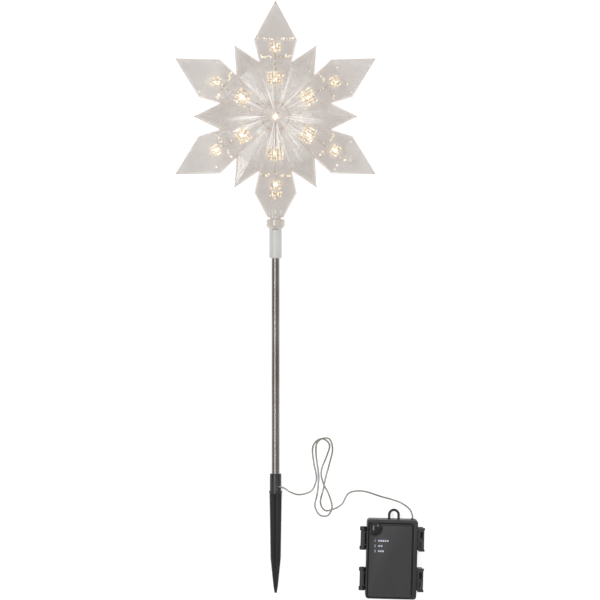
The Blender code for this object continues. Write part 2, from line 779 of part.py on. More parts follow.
def build_lid(parent, axis):
    rings = [
        box_ring(3.8 * MM, LID_CEILING),
        box_ring(3.8 * MM, GASKET_TOP + GAP),
        box_ring(1.2 * MM, GASKET_TOP + GAP),
        box_ring(1.2 * MM, LID_BOTTOM),
        box_ring(0, LID_BOTTOM),
        box_ring(0, LID_RIM_TOP - 1.0 * MM),
        box_ring(0.3 * MM, LID_RIM_TOP - 0.3 * MM),
        box_ring(1.0 * MM, LID_RIM_TOP),
        panel_ring(-0.2 * MM, LID_RIM_TOP),
        panel_ring(-0.2 * MM, LID_RIM_TOP - 0.9 * MM),
        panel_ring(0.9 * MM, LID_RIM_TOP - 0.9 * MM),
        panel_ring(0.9 * MM, LID_TOP - 0.7 * MM),
        panel_ring(1.6 * MM, LID_TOP),
    ]
    lid = loft("lid", rings, "charcoal_plastic", parent, axis, smooth=True)
    for unit in (-1, 1):
        middle = unit * FITTING_Y
        half = 8.6 * MM
        wall = -BOX_WIDE / 2 + 0.8 * MM
        barrel = [(2.9 * MM, middle - half), (2.9 * MM, middle + half)]
        add(lid, lathe_rings(barrel, 16, (HINGE_X, 0, HINGE_Z), "Y"))
        add(
            lid,
            block_rings((HINGE_X + 0.2 * MM, middle - half, 19.4 * MM), (wall, middle + half, 21.2 * MM)),
        )
        slot = wall - 1.2 * MM
        cut(
            lid,
            block_rings((slot - 1.9 * MM, middle - 7.4 * MM, 18.6 * MM), (slot, middle + 7.4 * MM, 23 * MM)),
        )
        bore = [(HINGE_PIN + GAP, middle - 10 * MM), (HINGE_PIN + GAP, middle + 10 * MM)]
        cut(lid, lathe_rings(bore, 12, (HINGE_X, 0, HINGE_Z), "Y"))
    well = [(BUTTON_RADIUS + 1.6 * MM, 26.9 * MM), (BUTTON_RADIUS + 2.4 * MM, 29 * MM)]
    cut(lid, lathe_rings(well, 24, (BUTTON_X, BUTTON_Y, 0)))
    for radius, low in ((BUTTON_RADIUS, 24.0 * MM), (BUTTON_STEM, 22.0 * MM)):
        cut(lid, lathe_rings([(radius + GAP, low), (radius + GAP, 30 * MM)], 24, (BUTTON_X, BUTTON_Y, 0)))
    return lid


def build_gasket(parent):
    low = BASE_TOP + GAP
    outer, inner = GASKET_IN, GASKET_IN + GASKET_WIDE
    rings = [
        box_ring(outer, low),
        box_ring(outer, GASKET_TOP),
        box_ring(inner, GASKET_TOP),
        box_ring(inner, low),
    ]
    loft("gasket", rings, "gasket_rubber", parent, closed=True)


def build_pins(parent):
    for number, unit in ((1, 1), (2, -1)):
        middle = unit * FITTING_Y
        pin = [(HINGE_PIN, middle - 13.6 * MM), (HINGE_PIN, middle + 13.6 * MM)]
        lathe(f"hinge_pin_{number}", pin, 12, "nickel", parent, (HINGE_X, 0, HINGE_Z), "Y")
        pin = [(LATCH_PIN, middle - 13.4 * MM), (LATCH_PIN, middle + 13.4 * MM)]
        lathe(f"latch_pin_{number}", pin, 12, "nickel", parent, (LATCH_X, 0, LATCH_Z), "Y")


def build_latch(number, middle, parent):
    """A swinging clasp: a plate up the box's side, a frame with two windows on top, a barrel round its pin."""
    axis = empty(f"latch_{number}_axis", (LATCH_X, middle, LATCH_Z), parent)
    side = BOX_WIDE / 2 + 0.6 * MM
    frame_low, frame_high = 20.6 * MM, 23.8 * MM
    corner = (side, middle - 12.8 * MM, frame_low)
    frame = block_rings(corner, (side + 7.2 * MM, middle + 12.8 * MM, frame_high))
    latch = loft(f"latch_{number}", frame, "black_plastic", parent, axis)
    plate_low = (side, middle - 10.6 * MM, LATCH_Z)
    plate_high = (side + 1.8 * MM, middle + 10.6 * MM, frame_low + 1 * MM)
    add(latch, block_rings(plate_low, plate_high))
    barrel = [(2.6 * MM, middle - 10.6 * MM), (2.6 * MM, middle + 10.6 * MM)]
    add(latch, lathe_rings(barrel, 16, (LATCH_X, 0, LATCH_Z), "Y"))
    for end in (-1, 1):
        y0, y1 = sorted((middle + end * 11.6 * MM, middle + end * FITTING_HALF))
        knob = ((side + 0.6 * MM, y0, frame_low - 2 * MM), (side + 7.9 * MM, y1, frame_high + 0.9 * MM))
        add(latch, block_rings(*knob))
        y0, y1 = sorted((middle + end * 2.0 * MM, middle + end * 9.4 * MM))
        window = ((side + 2.4 * MM, y0, frame_low - 3 * MM), (side + 5.4 * MM, y1, frame_high + 3 * MM))
        cut(latch, block_rings(*window))
    recess = ((side + 1.9 * MM, middle - 3.6 * MM, 4.0 * MM), (LATCH_X + 4 * MM, middle + 3.6 * MM, 10 * MM))
    cut(latch, block_rings(*recess))
    bore = [(LATCH_PIN + GAP, middle - 15 * MM), (LATCH_PIN + GAP, middle + 15 * MM)]
    cut(latch, lathe_rings(bore, 12, (LATCH_X, 0, LATCH_Z), "Y"))


def build_button(parent):
    """A domed push button: its stem runs down through the lid into the switch."""
    axis = empty("button_axis", (BUTTON_X, BUTTON_Y, LID_TOP), parent)
    profile = (
        (1.5, 17.6),
        (1.5, 21.4),
        (5.6, 21.4),
        (5.6, 22.7),
        (4.2, 22.7),
        (4.2, 25.6),
        (7.2, 25.6),
        (7.2, 28.6),
        (6.7, 29.8),
        (5.2, 30.8),
        (3.0, 31.4),
        (0.9, 31.6),
    )
    shape = [(radius * MM, height * MM) for radius, height in profile]
    lathe("switch_button", shape, 24, "gloss_black", parent, (BUTTON_X, BUTTON_Y, 0), axis=axis)


def build_cells(parent):
    """Three AA cells side by side, with a spring at one end of each and a plate at the other."""
    height = BASE_FLOOR + GAP + CELL_RADIUS
    for number in (1, 2, 3):
        x = (number - 2) * CELL_PITCH
        flipped = number == 2
        nub_end, flat_end = CELL_END_Y, CELL_END_Y - CELL_LONG
        if flipped:
            nub_end, flat_end = flat_end, nub_end
        inward = 1 if flipped else -1
        profile = [
            (2.75 * MM, nub_end),
            (2.75 * MM, nub_end + inward * 1.2 * MM),
            (6.6 * MM, nub_end + inward * 1.3 * MM),
            (CELL_RADIUS, nub_end + inward * 2.0 * MM),
            (CELL_RADIUS, flat_end - inward * 0.6 * MM),
            (6.6 * MM, flat_end),
        ]
        lathe(f"cell_{number}", profile, 20, "cell_wrap", parent, (x, 0, height), "Y")
        plate_y = CELL_END_Y + 0.5 * MM
        plate = block_rings((x - 5 * MM, plate_y, 3.5 * MM), (x + 5 * MM, plate_y + 0.6 * MM, 15 * MM))
        loft(f"contact_plate_{number}", plate, "nickel", parent)
        route = []
        low_y = -BOX_LONG / 2 + BASE_WALL + 1.0 * MM
        high_y = CELL_END_Y - CELL_LONG - 1.0 * MM
        steps = 36
        for step in range(steps + 1):
            share = step / steps
            angle = 2 * math.pi * 3 * share
            radius = (5.2 - 2.2 * share) * MM
            y = low_y + (high_y - low_y) * share
            route.append((x + radius * math.cos(angle), y, height + radius * math.sin(angle)))
        wire(f"contact_spring_{number}", route, 0.45 * MM, "nickel", parent, 0)


def build_board(parent):
    """Timer board on the left of the top bay, with its chip and the switch under the button."""
    board = block_rings((-27 * MM, 18.5 * MM, BOARD_Z), (14 * MM, 44 * MM, BOARD_Z + 1.2 * MM))
    loft("circuit_board", board, "board_green", parent)
    top = BOARD_Z + 1.2 * MM + GAP
    chip = block_rings((-2 * MM, 26 * MM, top), (6 * MM, 32 * MM, top + 1.6 * MM))
    loft("timer_chip", chip, "black_plastic", parent)
    half = 3.0 * MM
    body = block_rings((BUTTON_X - half, BUTTON_Y - half, top), (BUTTON_X + half, BUTTON_Y + half, 18.8 * MM))
    switch = loft("push_switch", body, "black_plastic", parent)
    cut(switch, lathe_rings([(1.9 * MM, 15.4 * MM), (1.9 * MM, 20 * MM)], 12, (BUTTON_X, BUTTON_Y, 0)))


def build_gland(parent):
    """Bushing where the lead goes through the box's top wall."""
    inside = BOX_LONG / 2 - BASE_WALL - 0.5 * MM
    outside = BOX_LONG / 2 + 1.0 * MM
    bore = CORD_RADIUS + 0.2 * MM
    profile = (
        (bore, inside),
        (2.2 * MM, inside),
        (2.2 * MM, outside - 0.3 * MM),
        (1.9 * MM, outside),
        (bore, outside),
    )
    lathe("cord_gland", profile, 16, "black_plastic", parent, (GLAND_X, 0, GLAND_Z), "Y", closed=True)


def build_box(parent):
    lid_axis = empty("lid_axis", (HINGE_X, 0, HINGE_Z), parent)
    build_base(parent)
    build_lid(parent, lid_axis)
    build_gasket(parent)
    build_pins(parent)
    build_latch(1, FITTING_Y, parent)
    build_latch(2, -FITTING_Y, parent)
    build_button(parent)
    build_cells(parent)
    build_board(parent)
    build_gland(parent)


def build_stake(parent):
    snowflake_shell("snowflake_front", 1, parent)
    back = snowflake_shell("snowflake_back", -1, parent)
    build_posts(back)
    build_lights(parent)
    build_arm_leads(parent)
    build_head_lead(parent)
    build_collar(parent)
    build_sleeve(parent)
    build_pole(parent)
    build_spike(parent)


def main():
    clear_scene()
    stake = empty("stake_axis", (SNOWFLAKE_X, SNOWFLAKE_Y, SNOWFLAKE_HEIGHT))
    drop = SNOWFLAKE_HEIGHT - FLANGE_RADIUS
    stake.rotation_euler.x = math.asin(drop / ((FLANGE_TOP + FLANGE_BOTTOM) / 2))
    box = empty("battery_box", (BOX_X, BOX_Y, 0))
    box.rotation_euler.z = BOX_TURN
    build_stake(stake)
    build_box(box)
    route = smooth_route(CORD_ROUTE, CORD_SPACING, CORD_RADIUS)
    wire("lead_cord", route, CORD_RADIUS, "clear_cord", None, 2)


main()
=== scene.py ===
import json
import math
import random

import bmesh
import bpy
from mathutils import Matrix, Vector
from mathutils.bvhtree import BVHTree

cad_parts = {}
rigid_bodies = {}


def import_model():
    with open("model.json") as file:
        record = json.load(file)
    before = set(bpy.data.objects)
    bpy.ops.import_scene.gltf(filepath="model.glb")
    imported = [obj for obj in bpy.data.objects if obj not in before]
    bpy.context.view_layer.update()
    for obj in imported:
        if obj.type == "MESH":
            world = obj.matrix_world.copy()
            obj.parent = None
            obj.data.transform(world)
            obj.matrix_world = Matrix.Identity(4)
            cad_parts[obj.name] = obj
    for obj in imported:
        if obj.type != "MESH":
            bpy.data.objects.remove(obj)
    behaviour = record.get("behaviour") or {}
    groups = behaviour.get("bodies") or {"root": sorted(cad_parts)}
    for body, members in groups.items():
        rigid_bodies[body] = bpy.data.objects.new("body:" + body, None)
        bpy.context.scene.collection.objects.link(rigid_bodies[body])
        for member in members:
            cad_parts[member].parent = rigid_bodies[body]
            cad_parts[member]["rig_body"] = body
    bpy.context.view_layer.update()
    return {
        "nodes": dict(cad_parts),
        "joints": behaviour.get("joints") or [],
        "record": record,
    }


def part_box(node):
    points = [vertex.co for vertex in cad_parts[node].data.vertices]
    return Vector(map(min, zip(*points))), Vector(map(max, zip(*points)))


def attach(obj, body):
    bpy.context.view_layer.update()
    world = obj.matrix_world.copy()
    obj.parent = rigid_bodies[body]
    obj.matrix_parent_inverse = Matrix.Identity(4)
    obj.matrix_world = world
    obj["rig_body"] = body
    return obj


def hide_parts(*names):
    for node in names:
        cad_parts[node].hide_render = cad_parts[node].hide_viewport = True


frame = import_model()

# A lit snowflake garden stake with its battery box, lying on a pale surface and seen from straight above.
# Pieces on the stake are placed in its own frame: origin at the snowflake's centre, +Y along the pole to the
# top tip, +Z out of the front. Pieces on the box: origin under its centre, +Y to its top edge. Metres.

MM = 0.001
JOINTS = {joint["name"]: joint for joint in frame["joints"]}
MOUNTS = {mount["name"]: mount for mount in frame["record"]["mounts"]}
NODES = frame["nodes"]
LAMPS = sorted(node for node in NODES if node.startswith("led_"))


def axes_at(origin, along):
    """A placing matrix with +Y along one direction and +X kept level."""
    y = Vector(along).normalized()
    x = y.cross(Vector((0, 0, 1))).normalized()
    z = x.cross(y)
    made = Matrix((x, y, z)).transposed().to_4x4()
    made.translation = origin
    return made


def middle_of(node):
    low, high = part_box(node)
    return (low + high) / 2


STAKE = axes_at(middle_of("led_centre"), JOINTS["pole_pull"]["axis"])
BOX = axes_at(Vector(MOUNTS["box_back"]["pos_m"]), [-part for part in JOINTS["lid_hinge"]["axis"]])

# ---------- camera, light and floor ----------

VIEW_FIELD = 0.720
VIEW_DISTANCE = 3.0
VIEW_LEVEL = 0.017
VIEW_CENTRE = (0.0003, 0.0004)
SENSOR = 36.0


def added(name, data):
    """A new object in the scene."""
    made = bpy.data.objects.new(name, data)
    bpy.context.scene.collection.objects.link(made)
    return made


def make_camera():
    data = bpy.data.cameras.new("camera")
    data.sensor_width = SENSOR
    data.lens = SENSOR * VIEW_DISTANCE / VIEW_FIELD
    data.clip_start = 0.05
    data.clip_end = 50
    camera = added("camera", data)
    camera.location = (*VIEW_CENTRE, VIEW_DISTANCE + VIEW_LEVEL)
    bpy.context.scene.camera = camera


def area_light(name, place, aim, size, power, colour=(1, 1, 1)):
    data = bpy.data.lights.new(name, "AREA")
    data.shape = "RECTANGLE"
    data.size, data.size_y = size
    data.energy = power
    data.color = colour
    light = added(name, data)
    light.location = place
    light.rotation_euler = (Vector(aim) - Vector(place)).to_track_quat("-Z", "Y").to_euler()


def make_light():
    world = bpy.data.worlds.new("studio")
    world.use_nodes = True
    background = world.node_tree.nodes["Background"]
    background.inputs["Color"].default_value = (1.0, 1.0, 1.0, 1)
    background.inputs["Strength"].default_value = 0.60
    bpy.context.scene.world = world
    bpy.context.scene.view_settings.view_transform = "Standard"
    cool = (0.97, 0.98, 1.0)
    area_light("strip", place=(-0.80, 0.0, 2.5), aim=(-0.03, 0, 0), size=(2.4, 0.50), power=30, colour=cool)
    area_light("corner", place=(1.15, 0.85, 2.1), aim=(0.1, -0.2, 0), size=(0.30, 0.30), power=13)


def make_floor():
    """A pale surface just under the object, much larger than the view."""
    half = 3.0
    level = -0.2 * MM
    data = bpy.data.meshes.new("floor")
    corners = ((-half, -half), (half, -half), (half, half), (-half, half))
    data.from_pydata([(x, y, level) for x, y in corners], [], [(0, 1, 2, 3)])
    recipe = Recipe("floor", (0.55, 0.55, 0.55), 0.9)
    recipe.value("Specular IOR Level", 0.1)
    recipe.glow((1, 1, 1), 0.70)
    data.materials.append(recipe.material)
    floor = added("floor", data)


# ---------- material building ----------


class Recipe:
    """One node material round a Principled shader."""

    def __init__(self, name, colour, roughness, metallic=0.0):
        self.material = bpy.data.materials.new(name)
        self.material.use_nodes = True
        self.tree = self.material.node_tree
        self.shader = self.tree.nodes["Principled BSDF"]
        self.value("Base Color", (*colour, 1))
        self.value("Roughness", roughness)
        self.value("Metallic", metallic)
        self.places = None

    def value(self, socket, amount):
        self.shader.inputs[socket].default_value = amount

    def glow(self, colour, strength):
        self.value("Emission Color", (*colour, 1))
        self.value("Emission Strength", strength)

    def node(self, kind, inputs=(), **settings):
        """A node with its settings and with what goes into its inputs."""
        made = self.tree.nodes.new(kind)
        for name, amount in settings.items():
            setattr(made, name, amount)
        for name, amount in dict(inputs).items():
            self.feed(made.inputs[name], amount)
        return made

    def feed(self, socket, amount):
        """Gives a socket a constant, or links it to another node's socket."""
        if isinstance(amount, bpy.types.NodeSocket):
            self.tree.links.new(amount, socket)
        else:
            socket.default_value = (*amount, 1) if socket.type == "RGBA" else amount

    def drive(self, socket, source, stops=None):
        """Links a source to one of the shader's sockets, through a ramp where stops are given."""
        self.feed(self.shader.inputs[socket], self.ramp(source, stops) if stops else source)

    def place(self, kind="Object"):
        if self.places is None:
            self.places = self.node("ShaderNodeTexCoord")
        return self.places.outputs[kind]

    def split(self, vector):
        return self.node("ShaderNodeSeparateXYZ", {"Vector": vector}).outputs

    def stretched(self, scale):
        return self.node("ShaderNodeMapping", {"Scale": scale, "Vector": self.place()}).outputs["Vector"]

    def noise(self, scale, detail=3.0, roughness=0.5, source=None, distortion=0.0):
        inputs = {"Scale": scale, "Detail": detail, "Roughness": roughness, "Distortion": distortion}
        inputs["Vector"] = source or self.place()
        return self.node("ShaderNodeTexNoise", inputs).outputs["Fac"]

    def cell_edges(self, scale, source):
        inputs = {"Scale": scale, "Vector": source}
        return self.node("ShaderNodeTexVoronoi", inputs, feature="DISTANCE_TO_EDGE").outputs["Distance"]

    def ramp(self, source, stops):
        """Stops are (position, value) or (position, colour)."""
        made = self.node("ShaderNodeValToRGB", {"Fac": source})
        elements = made.color_ramp.elements
        while len(elements) < len(stops):
            elements.new(0.5)
        for element, (position, amount) in zip(elements, stops):
            element.position = position
            colour = amount if isinstance(amount, tuple) else (amount, amount, amount)
            element.color = (*colour, 1)
        return made.outputs["Color"]

    def math(self, operation, *amounts):
        return self.node("ShaderNodeMath", dict(enumerate(amounts)), operation=operation).outputs["Value"]

    def times(self, first, second):
        return self.math("MULTIPLY", first, second)

    def plus(self, first, second):
        return self.math("ADD", first, second)

    def blend(self, factor, first, second):
        """A mix of two colours: sockets 6 and 7 are the mix node's colours, and 2 is its result."""
        return self.node("ShaderNodeMix", {0: factor, 6: first, 7: second}, data_type="RGBA").outputs[2]

    def bump(self, height, strength, distance):
        inputs = {"Strength": strength, "Distance": distance, "Height": height}
        self.drive("Normal", self.node("ShaderNodeBump", inputs).outputs["Normal"])


def scaled(colour, factor):
    return tuple(part * factor for part in colour)


def clear_plastic(name):
    """Clear moulded plastic as one thin grey film, with painted shade where it is steep: a little denser and
    warmer there.

    Two sizes of mottle make it uneven, most of all near the middle, and pale, faintly glowing streaks of
    painted light fan out from the hub.
    """
    usual = 0.365
    recipe = Recipe(name, (0.34, 0.32, 0.30), 0.08)
    upright = recipe.math("ABSOLUTE", recipe.split(recipe.place("Normal"))["Z"])
    steep = recipe.ramp(upright, [(0.25, 1.0), (0.80, 0.0)])
    clouds = recipe.noise(75, 5.0, 0.65)
    flecks = recipe.noise(430, 4.0, 0.7, distortion=0.8)
    ends = {0: recipe.place(), 1: STAKE.translation}
    run = recipe.node("ShaderNodeVectorMath", ends, operation="SUBTRACT").outputs["Vector"]
    reach = recipe.node("ShaderNodeVectorMath", {0: run}, operation="LENGTH").outputs["Value"]
    parts = recipe.split(run)
    angle = recipe.math("ARCTAN2", parts["Y"], parts["X"])
    turned = {"X": recipe.times(angle, 10.0), "Y": recipe.times(reach, 14.0)}
    fan = recipe.node("ShaderNodeCombineXYZ", turned)
    rays = recipe.noise(1.0, 1.0, 0.5, source=fan.outputs["Vector"])
    inner = recipe.ramp(reach, [(0.017, 0.0), (0.021, 1.0), (0.040, 0.8), (0.064, 0.0)])
    mottle = recipe.plus(recipe.times(clouds, 0.40), recipe.times(flecks, 0.60))
    rough = recipe.ramp(reach, [(0.045, 1.0), (0.095, 0.25)])
    film = recipe.ramp(mottle, [(0.36, 0.255), (0.64, 0.470)])
    uneven = recipe.times(recipe.math("SUBTRACT", film, usual), rough)
    even = recipe.plus(uneven, usual)
    inward = recipe.ramp(reach, [(0.045, 1.07), (0.066, 1.16), (0.098, 1.13)])
    dense = recipe.plus(recipe.times(steep, 0.10), recipe.times(even, inward))
    # Painted light: pale rays from the hub, drawn whiter and faintly glowing.
    lines = recipe.times(recipe.ramp(rays, [(0.54, 0.0), (0.66, 1.0)]), inner)
    recipe.drive("Alpha", recipe.plus(dense, recipe.times(lines, 0.09)))
    face = recipe.ramp(flecks, [(0.35, (0.245, 0.198, 0.168)), (0.66, (0.39, 0.333, 0.287))])
    # Painted shade: steep walls get a warmer, pinkish, denser tone.
    steep_shaded = recipe.blend(steep, face, (0.56, 0.44, 0.36))
    recipe.drive("Base Color", recipe.blend(lines, steep_shaded, (0.96, 0.95, 0.93)))
    recipe.drive("Emission Color", recipe.blend(lines, (0.0, 0.0, 0.0), (1.0, 0.97, 0.93)))
    recipe.value("Emission Strength", 0.05)
    recipe.bump(clouds, 0.10, 0.0010)
    return recipe.material


def glowing(name, colour, strength):
    """A surface that gives off light, a little uneven."""
    recipe = Recipe(name, colour, 0.3)
    recipe.value("Emission Strength", strength)
    warm = recipe.noise(900, 2.0)
    tint = recipe.ramp(warm, [(0.3, scaled(colour, 0.72)), (0.7, colour)])
    recipe.drive("Emission Color", tint)
    recipe.drive("Base Color", tint)
    return recipe.material


def halo_material():
    """Light scattered in the plastic round a lamp: strongest in the middle, fading to nothing."""
    recipe = Recipe("lamp_halo", (1.0, 0.86, 0.66), 0.6)
    glow = recipe.node("ShaderNodeAttribute", attribute_name="glow")
    grain = recipe.noise(500, 3.0, 0.6)
    soft = recipe.math("POWER", glow.outputs["Fac"], 1.3)
    recipe.drive("Alpha", recipe.times(soft, recipe.ramp(grain, [(0.3, 0.45), (0.7, 0.92)])))
    recipe.glow((1.0, 0.84, 0.60), 0.66)
    return recipe.material


def moulded(name, colour, roughness, grain=1800, grain_depth=0.00006, mottle=0.25):
    """Moulded plastic: fine spark-eroded grain, slight tone changes, rubbed lighter here and there."""
    recipe = Recipe(name, colour, roughness)
    fine = recipe.noise(grain, 4.0, 0.6)
    broad = recipe.noise(38, 3.0)
    tones = [(0.32, scaled(colour, 1 - mottle)), (0.68, scaled(colour, 1 + mottle))]
    recipe.drive("Base Color", broad, tones)
    recipe.drive("Roughness", broad, [(0.3, roughness - 0.07), (0.7, roughness + 0.08)])
    recipe.bump(fine, 0.5, grain_depth)
    return recipe.material


def steel_material():
    """Drawn stainless tube: long fine lines, and a dark brownish tint that is a painted reflection of a dark
    brown room.
    """
    recipe = Recipe("steel", (0.24, 0.22, 0.205), 0.18, 1.0)
    lines = recipe.noise(1.0, 2.0, 0.6, recipe.stretched((1900, 9, 120)))
    smears = recipe.noise(26, 1.0, 0.5)
    drawn = recipe.plus(recipe.times(lines, 0.4), recipe.times(smears, 0.6))
    # Painted reflection: the dark brownish base stands in for the dark brown surroundings seen in the steel.
    tones = [(0.35, (0.175, 0.152, 0.140)), (0.65, (0.27, 0.250, 0.235))]
    recipe.drive("Base Color", drawn, tones)
    recipe.drive("Roughness", smears, [(0.3, 0.17), (0.7, 0.18)])
    return recipe.material


def frosted(name, colour, alpha):
    """Cloudy, slightly see-through plastic with a glossy coat."""
    recipe = Recipe(name, colour, 0.16)
    cloud = recipe.noise(160, 4.0, 0.6)
    recipe.drive("Base Color", cloud, [(0.3, scaled(colour, 0.86)), (0.7, colour)])
    recipe.value("Alpha", alpha)
    recipe.value("Coat Weight", 0.8)
    recipe.value("Coat Roughness", 0.06)
    recipe.bump(cloud, 0.05, 0.0002)
    return recipe.material


def copper_material(name, dark, light, alpha):
    """Enamelled copper wire, its tone changing along its length."""
    recipe = Recipe(name, light, 0.35, 0.3)
    bands = recipe.noise(300, 3.0)
    recipe.drive("Base Color", bands, [(0.3, dark), (0.7, light)])
    recipe.drive("Alpha", bands, [(0.3, alpha * 0.7), (0.7, alpha)])
    recipe.bump(bands, 0.3, 0.0001)
    return recipe.material


def cord_material():
    """Clear sheath over twisted silver-coloured strands."""
    recipe = Recipe("clear_lead", (0.36, 0.34, 0.31), 0.18)
    place = recipe.split(recipe.node("ShaderNodeUVMap", uv_map="sheath").outputs["UV"])
    turned = recipe.plus(recipe.times(place["Y"], 42), place["X"])
    twist = recipe.math("SINE", recipe.times(turned, 4 * math.pi))
    wound = recipe.plus(recipe.times(twist, 0.5), 0.5)
    strand = recipe.ramp(wound, [(0.1, (0.25, 0.235, 0.21)), (0.9, (0.38, 0.365, 0.34))])
    patches = recipe.ramp(recipe.noise(24, 2.0), [(0.42, 0.0), (0.60, 0.75)])
    recipe.drive("Base Color", recipe.blend(patches, strand, (0.15, 0.135, 0.11)))
    recipe.bump(twist, 0.05, 0.00006)
    recipe.value("Coat Weight", 0.5)
    recipe.value("Coat Roughness", 0.22)
    return recipe.material


def plated_material():
    recipe = Recipe("nickel_plate", (0.60, 0.57, 0.53), 0.28, 1.0)
    scuffs = recipe.noise(700, 4.0, 0.7)
    recipe.drive("Roughness", scuffs, [(0.3, 0.20), (0.7, 0.42)])
    recipe.bump(scuffs, 0.2, 0.00003)
    return recipe.material


def cell_material():
    """Plain cell sleeve: dark green with a pale band towards one end."""
    recipe = Recipe("cell_sleeve", (0.08, 0.20, 0.13), 0.30, 0.2)
    mottle = recipe.noise(60, 2.0)
    pale = recipe.ramp(recipe.split(recipe.place("Generated"))["Y"], [(0.70, 0.0), (0.72, 1.0)])
    body = recipe.ramp(mottle, [(0.3, (0.05, 0.15, 0.09)), (0.7, (0.09, 0.22, 0.14))])
    recipe.drive("Base Color", recipe.blend(pale, body, (0.55, 0.50, 0.40)))
    recipe.value("Coat Weight", 0.4)
    return recipe.material


def board_material():
    recipe = Recipe("circuit_board", (0.02, 0.16, 0.06), 0.4)
    tracks = recipe.cell_edges(420, recipe.stretched((1, 0.4, 1)))
    recipe.drive("Base Color", tracks, [(0.05, (0.05, 0.28, 0.10)), (0.12, (0.012, 0.11, 0.04))])
    recipe.bump(tracks, 0.2, 0.0001)
    return recipe.material


# ---------- piece building ----------


def shaded_smooth(data, angle=32):
    data.shade_smooth()
    data.set_sharp_from_angle(angle=math.radians(angle))


def shown(name, data, body, matrix=None):
    """Puts a mesh or a text in the scene, riding on a body."""
    made = added(name, data)
    if matrix:
        made.matrix_world = matrix
    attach(made, body)
    return made


def piece(name, points, faces, material, matrix, body, smooth=True, outwards=False):
    """A piece made of points and faces that are given in the frame of a placing matrix."""
    data = bpy.data.meshes.new(name)
    data.from_pydata([tuple(point) for point in points], [], faces)
    if outwards:
        work = bmesh.new()
        work.from_mesh(data)
        bmesh.ops.recalc_face_normals(work, faces=work.faces)
        work.to_mesh(data)
        work.free()
    data.materials.append(material)
    if smooth:
        shaded_smooth(data)
    data.transform(matrix)
    return shown(name, data, body)


def in_deep_gap(place):
    """Whether a point of the box is on the floor of the lid's groove or on the shelf beside a hinge, the
    places that get painted shade.
    """
    groove = 24.4 * MM < place.z < 24.8 * MM
    shelf = place.x < -30.6 * MM and place.z < 15.2 * MM
    return groove or shelf


def finished_copy(node, material, width, dark=None):
    """A copy of a CAD node with its edges rounded, which stands for the node.

    Dark is a second material of painted shade, for the upward faces in the box's deep gaps, where shade
    falls.
    """
    source = NODES[node]
    work = bmesh.new()
    work.from_mesh(source.data)
    bmesh.ops.remove_doubles(work, verts=work.verts, dist=0.00001)
    bmesh.ops.dissolve_limit(
        work, angle_limit=math.radians(1.0), use_dissolve_boundaries=False, verts=work.verts, edges=work.edges
    )
    data = bpy.data.meshes.new(node + "_finished")
    work.to_mesh(data)
    work.free()
    data.materials.clear()
    data.materials.append(material)
    if dark:
        data.materials.append(dark)
        into = BOX.inverted() @ source.matrix_world
        for face in data.polygons:
            face.material_index = int(face.normal.z > 0.9 and in_deep_gap(into @ face.center))
    shaded_smooth(data, 40)
    made = shown(node + "_finished", data, source["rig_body"])
    bevel = made.modifiers.new("rounded", "BEVEL")
    bevel.width = width
    bevel.segments = 2
    bevel.limit_method = "ANGLE"
    bevel.angle_limit = math.radians(35)
    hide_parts(node)
    return made


def dress(nodes, material):
    """Gives CAD nodes a material in place of their plain one."""
    for node in nodes:
        data = NODES[node].data
        data.materials.clear()
        data.materials.append(material)


# ---------- the lead from the spike to the box ----------

CORD_DIAMETER = 0.0021
CORD_SIDES = 12
CORD_ROUTE = (
    (-0.0272, -0.2239, 0.0105), (-0.0252, -0.224, 0.013), (-0.0229, -0.2242, 0.0151),
    (-0.0197, -0.225, 0.0159), (-0.0164, -0.2269, 0.0148), (-0.0125, -0.2299, 0.0113),
    (-0.0035, -0.234, 0.003), (0.006, -0.2334, 0.00105), (0.0151, -0.2286, 0.00105),
    (0.0201, -0.2148, 0.00105), (0.0169, -0.196, 0.00105), (0.0154, -0.1785, 0.00105),
    (0.0205, -0.1694, 0.00105), (0.0286, -0.1672, 0.00105), (0.0359, -0.1746, 0.00105),
    (0.0326, -0.1875, 0.00105), (0.0263, -0.2045, 0.00105), (0.0276, -0.2186, 0.00105),
    (0.0352, -0.2345, 0.00105), (0.0389, -0.2495, 0.00105), (0.034, -0.2594, 0.00105),
    (0.0242, -0.259, 0.00105), (0.0183, -0.248, 0.00105), (0.0213, -0.232, 0.00105),
    (0.0228, -0.212, 0.00105), (0.0199, -0.188, 0.0011), (0.0202, -0.1736, 0.003),
    (0.0266, -0.1668, 0.0036), (0.036, -0.1674, 0.0016), (0.0396, -0.1795, 0.00105),
    (0.0361, -0.196, 0.0011), (0.031, -0.2145, 0.0032), (0.0282, -0.2285, 0.0031),
    (0.0249, -0.2435, 0.0011), (0.0296, -0.2528, 0.002), (0.0384, -0.2524, 0.0036),
    (0.0504, -0.2462, 0.0011), (0.0595, -0.2324, 0.00105), (0.0765, -0.2302, 0.00105),
    (0.097, -0.2363, 0.00105), (0.1195, -0.243, 0.002), (0.1318, -0.251, 0.0069),
    (0.1354, -0.2586, 0.009), (0.1355, -0.262, 0.009),
)


def smooth_line(route, steps, lowest):
    """Points on a smooth curve through the route's points, none of them below lowest."""
    places = [Vector(place) for place in route]
    places = [2 * places[0] - places[1], *places, 2 * places[-1] - places[-2]]
    line = []
    for a, b, c, d in zip(places, places[1:], places[2:], places[3:]):
        for step in range(steps):
            t = step / steps
            curve = 2 * b + (c - a) * t + (2 * a - 5 * b + 4 * c - d) * t**2 + (3 * b - a - 3 * c + d) * t**3
            line.append(curve / 2)
    line.append(places[-2])
    for place in line:
        place.z = max(place.z, lowest)
    return line


def turns(count):
    """The angles of a ring's points, in radians."""
    return [2 * math.pi * step / count for step in range(count)]


def heading(line, i):
    """The direction of a line at one of its points."""
    return (line[min(i + 1, len(line) - 1)] - line[max(i - 1, 0)]).normalized()


def band(low, high, count):
    """Faces between two closed rings of points, each ring given by the index of its first point."""
    for step in range(count):
        after = (step + 1) % count
        yield (low + step, low + after, high + after, high + step)


